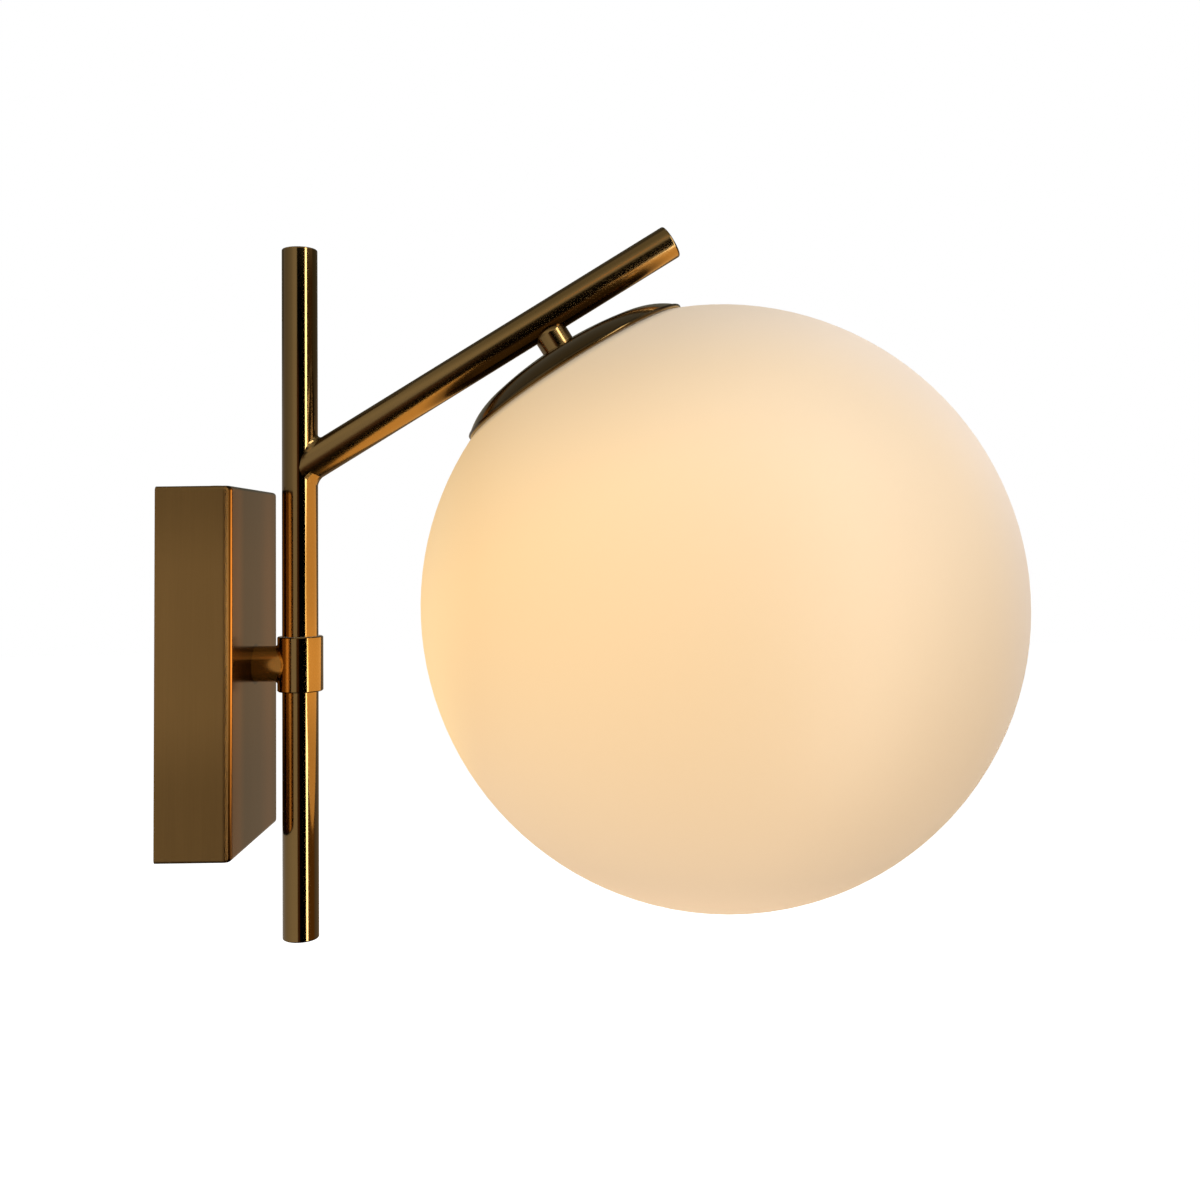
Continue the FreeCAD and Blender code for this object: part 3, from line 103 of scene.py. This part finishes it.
# %% Sockets that add up
class Socket:
    """One output of a node, on which Python's own signs add Math nodes."""

    def __init__(self, tree, output):
        self.tree, self.output = tree, output

    def maths(self, operation, *others):
        return self.tree.add("ShaderNodeMath", {"operation": operation}, (self, *others))

    def __add__(self, other):
        return self.maths("ADD", other)

    def __sub__(self, other):
        return self.maths("SUBTRACT", other)

    def __rsub__(self, other):
        return (self * -1).maths("ADD", other)

    def __mul__(self, other):
        return self.maths("MULTIPLY", other)

    def __truediv__(self, other):
        return self.maths("DIVIDE", other)

    __radd__, __rmul__ = __add__, __mul__


class Tree:
    """The nodes of one material or world."""

    FACTOR, FIRST, SECOND, RESULT = 0, 6, 7, 2  # where a Mix node keeps its colour sockets

    def __init__(self, owner):
        owner.use_nodes = True
        self.owner, self.nodes, self.links = owner, owner.node_tree.nodes, owner.node_tree.links

    def set(self, socket, value):
        if isinstance(value, Socket):
            self.links.new(value.output, socket)
        else:
            socket.default_value = value

    def add(self, kind, settings=None, inputs=(), output=0):
        node = self.nodes.new(kind)
        for name, value in (settings or {}).items():
            if name == "stops":
                self.fill_ramp(node.color_ramp.elements, value)
            else:
                setattr(node, name, value)
        pairs = inputs.items() if isinstance(inputs, dict) else enumerate(inputs)
        for name, value in pairs:
            self.set(node.inputs[name], value)
        return Socket(self, node.outputs[output]) if node.outputs else node

    @staticmethod
    def fill_ramp(elements, stops):
        """Sets a ramp's stops. Its very end repeats its start, so that a ramp can go once round."""
        for position, value in stops:
            element = elements.new(position) if position else elements[0]
            element.color = (*value, 1) if isinstance(value, tuple) else (value, value, value, 1)
        elements[len(elements) - 1].color = elements[0].color

    def ramp(self, factor, stops, smooth=True):
        node = self.add("ShaderNodeValToRGB", {"stops": stops}, (factor,))
        node.output.node.color_ramp.interpolation = "EASE" if smooth else "LINEAR"
        return node

    def between(self, value, start, end, low=0.0, high=1.0):
        """A smooth step from low to high as value goes from start to end."""
        return self.add("ShaderNodeMapRange", {"interpolation_type": "SMOOTHSTEP"},
                        (value, start, end, low, high))

    def window(self, value, start, end, edge):
        """1 from start to end and 0 outside, with soft edges."""
        opens = self.between(value, start - edge, start + edge)
        return opens * self.between(value, end + edge, end - edge)

    def mix(self, factor, first, second):
        return self.add("ShaderNodeMix", {"data_type": "RGBA"},
                        {self.FACTOR: factor, self.FIRST: first, self.SECOND: second}, self.RESULT)

    def tint(self, colour, strength):
        """A colour made lighter or darker by a number, or by a second colour."""
        return self.add("ShaderNodeMix", {"data_type": "RGBA", "blend_type": "MULTIPLY"},
                        {self.FACTOR: 1.0, self.FIRST: colour, self.SECOND: strength}, self.RESULT)

    def place(self):
        return self.add("ShaderNodeTexCoord", None, (), "Object")

    def split(self, vector):
        node = self.add("ShaderNodeSeparateXYZ", None, (vector,)).output.node
        return [Socket(self, output) for output in node.outputs]

    def stretched(self, vector, turn=(0, 0, 0), scale=(1, 1, 1), centre=(0, 0, 0)):
        """A place as seen from centre, on axes turned by turn, in lengths of scale."""
        return self.add("ShaderNodeMapping", {"vector_type": "TEXTURE"},
                        {"Vector": vector, "Location": centre, "Rotation": turn, "Scale": scale})

    def noise(self, vector, scale, detail=3.0, roughness=0.5):
        return self.add("ShaderNodeTexNoise", None,
                        {"Vector": vector, "Scale": scale, "Detail": detail, "Roughness": roughness})

    def bump(self, height, strength, distance):
        return self.add("ShaderNodeBump", None,
                        {"Height": height, "Strength": strength, "Distance": distance * MM})


def srgb(red, green, blue):
    """A colour given as a screen shows it, 0 to 255, in the shader's own units."""
    shares = [c / 255 for c in (red, green, blue)]
    line = [c / 12.92 if c <= 0.04045 else ((c + 0.055) / 1.055) ** 2.4 for c in shares]
    return (*line, 1)


print("shader helpers ready")

# %% [markdown]
# ## The studio
# The photograph is a cut-out on white. A white floor and wall could be lit until they are white, but
# that light would also flood the lamp. Here the world is white for the camera and for mirrors, and
# a softer white for what lights matt surfaces.

# %% World
WHITE = (1, 1, 1, 1)
BLACK = (0, 0, 0, 1)
SOFT_LEVEL = 0.55


def sight_of(tree):
    """1 where the camera, a mirror or glass looks at a thing, 0 where matt surfaces are lit by it."""
    path = tree.add("ShaderNodeLightPath").output.node.outputs
    seen = Socket(tree, path["Is Camera Ray"])
    for ray in ("Is Glossy Ray", "Is Transmission Ray"):
        seen = seen.maths("MAXIMUM", Socket(tree, path[ray]))
    return seen


world = bpy.data.worlds.new("studio")
bpy.context.scene.world = world
air = Tree(world)
air.nodes.clear()
soft_sky = air.add("ShaderNodeBackground", None, {"Color": WHITE, "Strength": SOFT_LEVEL})
backdrop = air.add("ShaderNodeBackground", None, {"Color": WHITE, "Strength": 1.0})
lit_or_seen = air.add("ShaderNodeMixShader", None, (sight_of(air), soft_sky, backdrop))
air.add("ShaderNodeOutputWorld", None, (lit_or_seen,))
bpy.context.scene.view_settings.view_transform = "Standard"
print("world lights matt surfaces at", SOFT_LEVEL)

# %% [markdown]
# ## Soft boxes
# A photographer lights such a piece with large soft boxes, so that no shadow has a hard edge. A sun
# or a point lamp would draw sharp shadows, so area lamps stand in for the boxes: one overhead, one at
# the front left and one behind. Mirrors don't see them, because each would be a hard square of light
# on every tube.

# %% Soft boxes
SOFT_BOXES = (
    # name, place, side, watts
    ("overhead", (0.5, -0.5, 1.6), 1.2, 10),
    ("front_left", (-0.9, -1.3, 0.6), 1.0, 9),
    ("behind", (0.4, 1.5, 0.8), 1.2, 8),
)

for name, place, side, watts in SOFT_BOXES:
    data = bpy.data.lights.new(name, "AREA")
    data.size, data.energy = side, watts
    lamp = bpy.data.objects.new(name, data)
    lamp.location = place
    lamp.rotation_euler = (OBJECT_CENTRE - Vector(place)).to_track_quat("-Z", "Y").to_euler()
    lamp.visible_glossy = False
    bpy.context.scene.collection.objects.link(lamp)
print(len(SOFT_BOXES), "soft boxes")

# %% [markdown]
# ## The light tent
# Polished metal has no colour of its own apart from what it mirrors, so a tent of cloth stands round
# the lamp, as in a real studio: pale cloth above and at the left, a bright strip at the right front
# and black cards between. Only reflections see it. Walls of cloth could be modelled one by one, but
# a drawing on a ball is easier to change until each band of light sits where the photograph has it.
#
# The drawing is made on a map of directions: how far round from the camera's side, from -180 to 180
# degrees with the lamp's right at 90, and how high on the ball, from -1 to 1. Two ramps go once round
# for the upper and the lower cloth. Cards of light with soft edges are pinned on top of them.

# %% Light tent
TENT_RADIUS = 0.47
TENT_RINGS = 48
CLOTHS_MEET = (0.15, -0.40)
BROWN_WALL = (0.37, 0.29, 0.19)
DIM_RIGHT = (0.17, 0.10, 0.045)
WARM_RIGHT = (0.38, 0.19, 0.045)
UPPER_CLOTH = (
    (-180, BROWN_WALL), (-115, 0.40), (-82, 0.45), (-52, 0.66), (-38, 0.92), (-20, 0.98),
    (-17, 0.0), (50, 0.0), (56, DIM_RIGHT), (104, DIM_RIGHT), (125, 0.26), (150, BROWN_WALL),
)
LOWER_CLOTH = (
    (-180, BROWN_WALL), (-115, 0.62), (-82, 0.78), (-52, 1.0), (-22, 1.05),
    (-19, 0.0), (50, 0.0), (56, WARM_RIGHT), (104, WARM_RIGHT), (125, 0.32), (150, BROWN_WALL),
)
# These lie past the ends of the map, so that a card has no soft edge there.
FAR_LEFT, FAR_RIGHT = -200, 200
FAR_DOWN, FAR_UP = -2.0, 2.0
CARDS = (
    # name, round from and to, high from and to, soft edge, light
    ("brown_edge", (-19, -8), (-0.70, 0.28), 0.05, (0.20, 0.08, 0.03, 1)),
    ("sky_cloth", (FAR_LEFT, FAR_RIGHT), (0.52, FAR_UP), 0.07, (1.05, 1.05, 1.0, 1)),
    ("high_sky", (FAR_LEFT, FAR_RIGHT), (0.78, FAR_UP), 0.14, (0.52, 0.52, 0.46, 1)),
    ("upper_line", (-18, -4), (0.655, 0.70), 0.01, (2.6, 1.3, 0.4, 1)),
    ("lower_line", (-22, -6), (-0.79, -0.74), 0.01, (2.6, 1.3, 0.4, 1)),
    ("dark_back_left", (FAR_LEFT, -105), (0.26, FAR_UP), 0.08, (0.16, 0.15, 0.11, 1)),
    ("dark_back_right", (105, FAR_RIGHT), (0.26, FAR_UP), 0.08, (0.16, 0.15, 0.11, 1)),
    ("dark_floor", (FAR_LEFT, FAR_RIGHT), (FAR_DOWN, -0.75), 0.08, (0.02, 0.02, 0.02, 1)),
    ("strip_light", (38, 51), (-0.75, 0.80), 0.01, (15, 15, 15, 1)),
    ("cap_spot", (142, 154), (0.905, 0.965), 0.01, (3.2, 3.0, 2.5, 1)),
)
EDGE_DEGREES = 30  # how far round a soft edge of 1 would reach


def tent_cloth():
    """The cloth glows with the light that the drawing has in its direction."""
    cloth = Tree(bpy.data.materials.new("tent_cloth"))
    cloth.nodes.clear()
    away = cloth.stretched(cloth.place(), centre=OBJECT_CENTRE)
    direction = cloth.add("ShaderNodeVectorMath", {"operation": "NORMALIZE"}, (away,))
    across, depth, height = cloth.split(direction)
    around = across.maths("ARCTAN2", depth * -1) * (180 / math.pi)
    share = around / 360 + 0.5
    upper, lower = (
        cloth.ramp(share, [(angle / 360 + 0.5, light) for angle, light in stops], smooth=False)
        for stops in (UPPER_CLOTH, LOWER_CLOTH)
    )
    light = cloth.mix(cloth.between(height, *CLOTHS_MEET), upper, lower)
    for _, (left, right), (bottom, top), edge, card in CARDS:
        mask = cloth.window(around, left, right, edge * EDGE_DEGREES)
        mask = mask * cloth.window(height, bottom, top, edge)
        light = cloth.mix(mask, light, card)
    glow = cloth.add("ShaderNodeEmission", None, {"Color": light, "Strength": 1.0})
    cloth.add("ShaderNodeOutputMaterial", None, (glow,))
    return cloth.owner


mesh = bpy.data.meshes.new("light_tent")
form = bmesh.new()
bmesh.ops.create_uvsphere(form, u_segments=2 * TENT_RINGS, v_segments=TENT_RINGS,
                          radius=TENT_RADIUS, matrix=Matrix.Translation(OBJECT_CENTRE))
form.to_mesh(mesh)
form.free()
mesh.shade_smooth()
mesh.materials.append(tent_cloth())
tent = bpy.data.objects.new("light_tent", mesh)
bpy.context.scene.collection.objects.link(tent)
tent.visible_camera = tent.visible_diffuse = tent.visible_shadow = tent.visible_transmission = False
print("tent radius", TENT_RADIUS, "with cards", *(card[0] for card in CARDS))

# %% [markdown]
# ## Finishes
# Every finish starts from the same plain shader. What is the same all over is a number on its
# socket, and what changes over the surface is a small formula of the place on the piece. Pictures
# could be wrapped round the pieces instead, but a formula stays sharp from near by and has no seams.

# %% A finish from a name and its numbers
def finish(name, colour, roughness, metallic=0.0, **more):
    """A new material with its constant numbers set on the shader itself."""
    tree = Tree(bpy.data.materials.new(name))
    shader = tree.nodes["Principled BSDF"]
    shader.inputs["Base Color"].default_value = colour
    shader.inputs["Roughness"].default_value = roughness
    shader.inputs["Metallic"].default_value = metallic
    for key, value in more.items():
        shader.inputs[key.replace("_", " ")].default_value = value
    return tree, shader


finishes = {}
print("ready for finishes")

# %% [markdown]
# ## The floor
# The floor is white cloth, and lies well under the lamp, as below a lamp that hangs on a wall. A
# floor right under it would catch a shadow that the photograph doesn't have. The cloth glows for
# the camera and for mirrors only, so its white joins the backdrop's without an edge.

# %% Floor
FLOOR_Z = -0.5
FLOOR_SIDE = 12.0
PALE_CLOTH = (0.92, 0.92, 0.92, 1)

half = FLOOR_SIDE / 2
corners = ((-half, -half), (half, -half), (half, half), (-half, half))
mesh = bpy.data.meshes.new("floor")
mesh.from_pydata([(x, y, FLOOR_Z) for x, y in corners], [], [(0, 1, 2, 3)])
floor = bpy.data.objects.new("floor", mesh)
bpy.context.scene.collection.objects.link(floor)
cloth, shader = finish("white_floor", PALE_CLOTH, 0.9, Specular_IOR_Level=0.0, Emission_Strength=0.5)
cloth.set(shader.inputs["Emission Color"], cloth.mix(sight_of(cloth), BLACK, WHITE))
mesh.materials.append(cloth.owner)
print("floor at", FLOOR_Z)

# %% [markdown]
# ## Polished bronze
# The tubes are brass, darkened to an olive brown and polished along a belt, so very fine lines run
# round each tube. The lines are a noise that hardly changes around the tube and changes fast along
# it. A slow second noise is the uneven darkening. An even brown would do from far off, but near by
# it looks like paint.

# %% Polished bronze, by the direction of the tube
OLIVE = srgb(112, 88, 52)
# Painted reflection: the stub is the same bronze, tinted amber and given a matt share that stand in
# for the globe's warm glow it mirrors.
AMBER_GLOW_REFLECTION = srgb(134, 88, 30)
BELT_LINES = (20 * MM, 20 * MM, 0.22 * MM)
BELT_DEPTH = 0.004
PATCH_SCALE = 38.0
CAP_RIM = 92.6 * MM  # up the neck's axis from the globe's centre
# Painted shade: below CAP_RIM the cap's rolled rim is painted darker, as the shade along its edge.
PAINTED_RIM_SHADE = 0.6


def polished_bronze(name, turn=0.0, grain=0.25, roughness=0.10, rim=None, colour=OLIVE, metallic=1.0):
    """Darkened brass whose axis is Z turned about Y by turn, with painted shade below a rim's height.
    """
    tree, shader = finish(name, colour, roughness, metallic)
    lines = tree.noise(tree.stretched(tree.place(), (0, turn, 0), BELT_LINES), 1.0, 4.0, 0.6)
    patches = tree.noise(tree.place(), PATCH_SCALE, 2.0)
    tone = 0.9 + patches * 0.12 + lines * 0.08
    if rim:
        # Painted shade on the rolled rim of the cap.
        _, _, up = tree.split(tree.stretched(tree.place(), (0, turn, 0), centre=GLOBE_CENTRE))
        tone = tone - tree.between(up, rim + 0.5 * MM, rim - 0.3 * MM, 0, PAINTED_RIM_SHADE)
    tree.set(shader.inputs["Base Color"], tree.tint(colour, tone))
    tree.set(shader.inputs["Roughness"], roughness - 0.04 + patches * 0.05 + lines * 0.05)
    tree.set(shader.inputs["Normal"], tree.bump(lines, grain, BELT_DEPTH))
    return tree.owner


upright_bronze = polished_bronze("upright_bronze")
arm_bronze = polished_bronze("arm_bronze", turn=math.pi / 2 - ARM_RISE, grain=0.12, roughness=0.20)
neck_bronze = polished_bronze("neck_bronze", turn=-ARM_RISE, grain=0.2, roughness=0.16)
cap_bronze = polished_bronze("cap_bronze", turn=-ARM_RISE, grain=0.2, rim=CAP_RIM)
# The stub's amber colour and lower metallic are a painted reflection of the globe's warm glow.
stub_bronze = polished_bronze("stub_bronze", turn=math.pi / 2, grain=0.2, roughness=0.12,
                              colour=AMBER_GLOW_REFLECTION, metallic=0.8)
finishes["polished_bronze"] = upright_bronze
print("five polished pieces")

# %% [markdown]
# ## Brushed bronze
# The wall box is folded from sheet brass. Its sides are brushed upright, and its front is polished,
# with a painted dark reflection along the bent edges of the front and a dark seam round the stub. One
# finish covers the whole box, because it is one piece: the depth under the front says which of the
# two a point has. The front's broad bands are painted reflections and highlights, brightest at its
# minus-Y edge. Mirroring alone gives it one tone, and the real one has several. The whole box is
# also painted darker towards the top and the bottom, as shade.

# %% Brushed bronze for the wall box
SHEET_BRASS = srgb(118, 89, 50)
SHEET_ROUGHNESS = 0.36
BOX_WIDTH = 60 * MM
BRIGHTEST_HEIGHT = 10 * MM
FINE_BRUSHING = (0.6 * MM, 0.6 * MM, 30 * MM)
BROAD_BRUSHING = (4 * MM, 4 * MM, 60 * MM)
BRUSHED_DEPTH = 0.01
# Painted reflections and highlights across the polished front, from its minus-Y edge to its plus-Y
# edge.
FRONT_PAINTED_REFLECTIONS = (
    (0.0, (2.6, 2.2, 1.8)), (0.12, (2.0, 1.7, 1.5)), (0.30, (0.92, 0.94, 0.94)),
    (0.55, 0.95), (0.80, (1.5, 1.3, 1.25)), (1.0, 1.0),
)


def brushed_bronze():
    """Sheet brass brushed upright on its sides, with a polished front."""
    tree, shader = finish("brushed_bronze", SHEET_BRASS, SHEET_ROUGHNESS, 1.0)
    front, side, height = tree.split(tree.place())
    under = BOX_FRONT - front
    polish = tree.between(under, 2.2 * MM, 0.6 * MM)
    # Painted dark reflection: a dark line on the bent edges, just behind the front face.
    bend_dark_reflection = tree.between(under, 1.6 * MM, 1.1 * MM) * tree.between(under, 0.05 * MM, 0.48 * MM)
    from_stub = (side * side + height * height).maths("SQRT")
    seam = polish * tree.between(from_stub, 7.1 * MM, 6.4 * MM)
    # Painted shade: the box turns darker towards the top and the bottom, brightest at
    # BRIGHTEST_HEIGHT.
    ends = tree.between((height - BRIGHTEST_HEIGHT).maths("ABSOLUTE"), 18 * MM, 50 * MM)
    fine = tree.noise(tree.stretched(tree.place(), scale=FINE_BRUSHING), 1.0, 5.0, 0.65)
    broad = tree.noise(tree.stretched(tree.place(), scale=BROAD_BRUSHING), 1.0)
    tone = 0.82 + fine * 0.24 + broad * 0.12 - ends * 0.26
    tone = tone * (1 - bend_dark_reflection * 0.93) * (1 - seam * 0.7)
    # Painted reflections and highlights: the front's colour is multiplied by these bands.
    bands = tree.mix(polish, WHITE, tree.ramp(side / BOX_WIDTH + 0.5, FRONT_PAINTED_REFLECTIONS))
    tree.set(shader.inputs["Base Color"], tree.tint(tree.tint(SHEET_BRASS, bands), tone))
    tree.set(shader.inputs["Roughness"], SHEET_ROUGHNESS + fine * 0.12 - polish * 0.22)
    tree.set(shader.inputs["Normal"], tree.bump(fine * (1 - polish * 0.9), 0.35, BRUSHED_DEPTH))
    return tree.owner


finishes["brushed_bronze"] = brushed_bronze()
print("brushed box")

# %% [markdown]
# ## Glowing opal glass
# The globe is white glass with a lit bulb in it, so it glows all over: warm at the front left, with
# painted studio light making it paler to the right and the top, and painted shade where the cap
# shades it. Light could be sent through real glass, which is slow and grainy. Here the glass gives
# off its own light, with the slow changes of tone written as steps along a few directions. A painted
# reflection of the white surroundings makes its edge cooler at the upper right.
#
# Polished metal sees the globe brighter than the camera does. A picture's white is its limit, and a
# lit globe is near it, so its mirror image in dark metal would be too dim without that. Mirrors also
# see a painted highlight on the globe's front left.

# %% Glowing opal glass
OPAL_BASE = (0.315, 0.28, 0.225, 1)
OPAL_ROUGHNESS = 0.5
WARM_GLOW = (0.755, 0.437, 0.123, 1)
# Painted studio light: the paler glow on the right and the top.
PALE_LIT_GLOW = (0.62, 0.475, 0.33, 1)
LEFT_GLOW = (0.775, 0.495, 0.195, 1)
LOW_GLOW = (0.467, 0.33, 0.227, 1)
# Painted reflection: a cooler tint on the upper right edge, standing in for the white surroundings
# mirrored at a grazing angle.
EDGE_REFLECTION_TINT = (1.06, 1.15, 1.45, 1)
MIRRORED_GLOW = (3.9, 2.4, 0.83, 1)
# The sheen below is a painted highlight that only mirrors see.
MIRRORED_SHEEN = (16.0, 14.0, 9.0, 1)
TO_LIT_SIDE = (0.70, 0.585)
TO_CAP = (NECK_UP.x, NECK_UP.z)
TO_LOW_RIGHT = (0.85, -0.5)
TO_RIGHT = (1, 0)
TO_TOP = (0, 1)
# Painted shade on the glow: the cap's shade, a shadow line under its rim, and darker sides towards
# the lower right, the top and the right. The last row makes the bottom lighter.
SHADES = (
    # toward, from and to in globe radii, how much darker
    (TO_CAP, 0.44, 0.95, 0.30), (TO_CAP, 0.885, 0.912, 0.40), (TO_LOW_RIGHT, 0.3, 1.0, 0.25),
    (TO_TOP, 0.35, 1.0, 0.18), (TO_RIGHT, 0.6, 1.0, 0.05), (TO_TOP, -0.75, -1.0, -0.28),
)
# Painted shade on the glow that mirrors see.
MIRRORED_SHADES = (
    (TO_TOP, -0.10, -0.60, 0.42), (TO_CAP, 0.15, 0.6, 0.32), (TO_CAP, 0.84, 0.91, 0.5),
)


def opal_glass():
    """White glass lit from inside, which mirrors see brighter."""
    tree, shader = finish("opal_glass", OPAL_BASE, OPAL_ROUGHNESS, IOR=1.4, Specular_IOR_Level=0.22,
                          Emission_Strength=1.0)
    from_centre = tree.stretched(tree.place(), centre=GLOBE_CENTRE, scale=(GLOBE_RADIUS,) * 3)
    right, back, up = tree.split(from_centre)

    def toward(way):
        return right * way[0] + up * way[1]

    def light_left(shades):
        return 1 - sum(
            tree.between(toward(way), start, end, 0, dark) for way, start, end, dark in shades
        )

    # Painted light: the glow turns paler where studio light falls on the right and the top.
    glow = tree.mix(tree.between(toward(TO_LIT_SIDE), -0.64, 1.13), WARM_GLOW, PALE_LIT_GLOW)
    glow = tree.mix(tree.between(up, 0.5, -1.6), glow, LOW_GLOW)
    glow = tree.mix(tree.between(right, -0.75, -0.95), glow, LEFT_GLOW)
    glow = tree.tint(glow, light_left(SHADES))
    # Painted reflection of the white surroundings on the globe's upper right edge.
    rightward, upward = right.maths("MAXIMUM", 0), up.maths("MAXIMUM", 0)
    outward = (rightward * rightward + upward * upward).maths("SQRT")
    glow = tree.tint(glow, tree.mix(tree.between(outward, 0.66, 1.0), WHITE, EDGE_REFLECTION_TINT))
    # Painted highlight: mirrors see a bright band on the globe's front left, where the strip light
    # would catch it at a grazing angle.
    sheen = tree.between(back, -0.46, -0.52) * tree.between(right, 0.2, -0.2)
    mirrored = tree.tint(tree.mix(sheen, MIRRORED_GLOW, MIRRORED_SHEEN), light_left(MIRRORED_SHADES))
    rays = tree.add("ShaderNodeLightPath").output.node.outputs
    glow = tree.mix(Socket(tree, rays["Is Glossy Ray"]), glow, mirrored)
    tree.set(shader.inputs["Emission Color"], glow)
    return tree.owner


finishes["opal_glass"] = opal_glass()
print("opal glass with", len(SHADES) + len(MIRRORED_SHADES), "shades")

# %% [markdown]
# ## Hidden finishes
# Inside the box, the tubes and the globe are zinc-plated steel, brass, rubber, plastics and leads.
# They show only from behind the box, or when a piece is taken off. Each could have a finish of its
# own, but one recipe with a fine grain is enough here: it keeps plastic from looking like paint and
# metal from looking like a mirror.

# %% Hidden finishes
GRAIN_SCALE = 400.0
GRAIN_DETAIL = 4.0
GRAIN_DEPTH = 0.01
GRAIN_SPREAD = 0.12
HIDDEN_FINISHES = (
    # name, colour, roughness, metallic
    ("zinc_steel", srgb(178, 180, 178), 0.34, 1.0),
    ("plain_brass", srgb(205, 168, 100), 0.28, 1.0),
    ("black_rubber", srgb(30, 30, 30), 0.75, 0.0),
    ("clear_silicone", srgb(222, 216, 204), 0.45, 0.0),
    ("white_plastic", srgb(228, 228, 222), 0.42, 0.0),
    ("natural_nylon", srgb(222, 216, 196), 0.5, 0.0),
    ("black_resin", srgb(22, 22, 22), 0.3, 0.0),
    ("frosted_bulb", srgb(240, 236, 226), 0.5, 0.0),
    ("lead_brown", srgb(82, 44, 24), 0.38, 0.0),
    ("lead_blue", srgb(28, 72, 150), 0.38, 0.0),
    ("lead_green", srgb(70, 140, 44), 0.38, 0.0),
)


def speckled(name, colour, roughness, metallic):
    """A plain finish with a fine grain in its colour, its gloss and its surface."""
    tree, shader = finish(name, colour, roughness, metallic)
    grain = tree.noise(tree.place(), GRAIN_SCALE, GRAIN_DETAIL)
    lightness = 1 - GRAIN_SPREAD / 2 + grain * GRAIN_SPREAD
    tree.set(shader.inputs["Base Color"], tree.tint(colour, lightness))
    tree.set(shader.inputs["Roughness"], roughness - GRAIN_SPREAD / 4 + grain * (GRAIN_SPREAD / 2))
    tree.set(shader.inputs["Normal"], tree.bump(grain, 0.3, GRAIN_DEPTH))
    return tree.owner


for row in HIDDEN_FINISHES:
    finishes[row[0]] = speckled(*row)
print(len(finishes), "finishes")

# %% [markdown]
# ## Dressing the pieces
# The record says which finish each piece has, so most pieces take it by that name. The arm, the neck,
# the cap and the stub lie in other directions than the upright. Their belt lines have to turn with
# them, so each of these has the polished finish that was made for its own direction.

# %% Put the finishes on
OWN_FINISH = {
    "arm_tube": arm_bronze, "arm_end_plug": arm_bronze, "arm_weld": arm_bronze,
    "neck_ferrule": neck_bronze, "globe_cap": cap_bronze, "stub_tube": stub_bronze,
}
for piece in frame["record"]["subparts"]:
    name, slot = piece["node"], piece["material_slot"]
    mesh = nodes[name].data
    mesh.materials.clear()
    mesh.materials.append(OWN_FINISH.get(name, finishes[slot]))
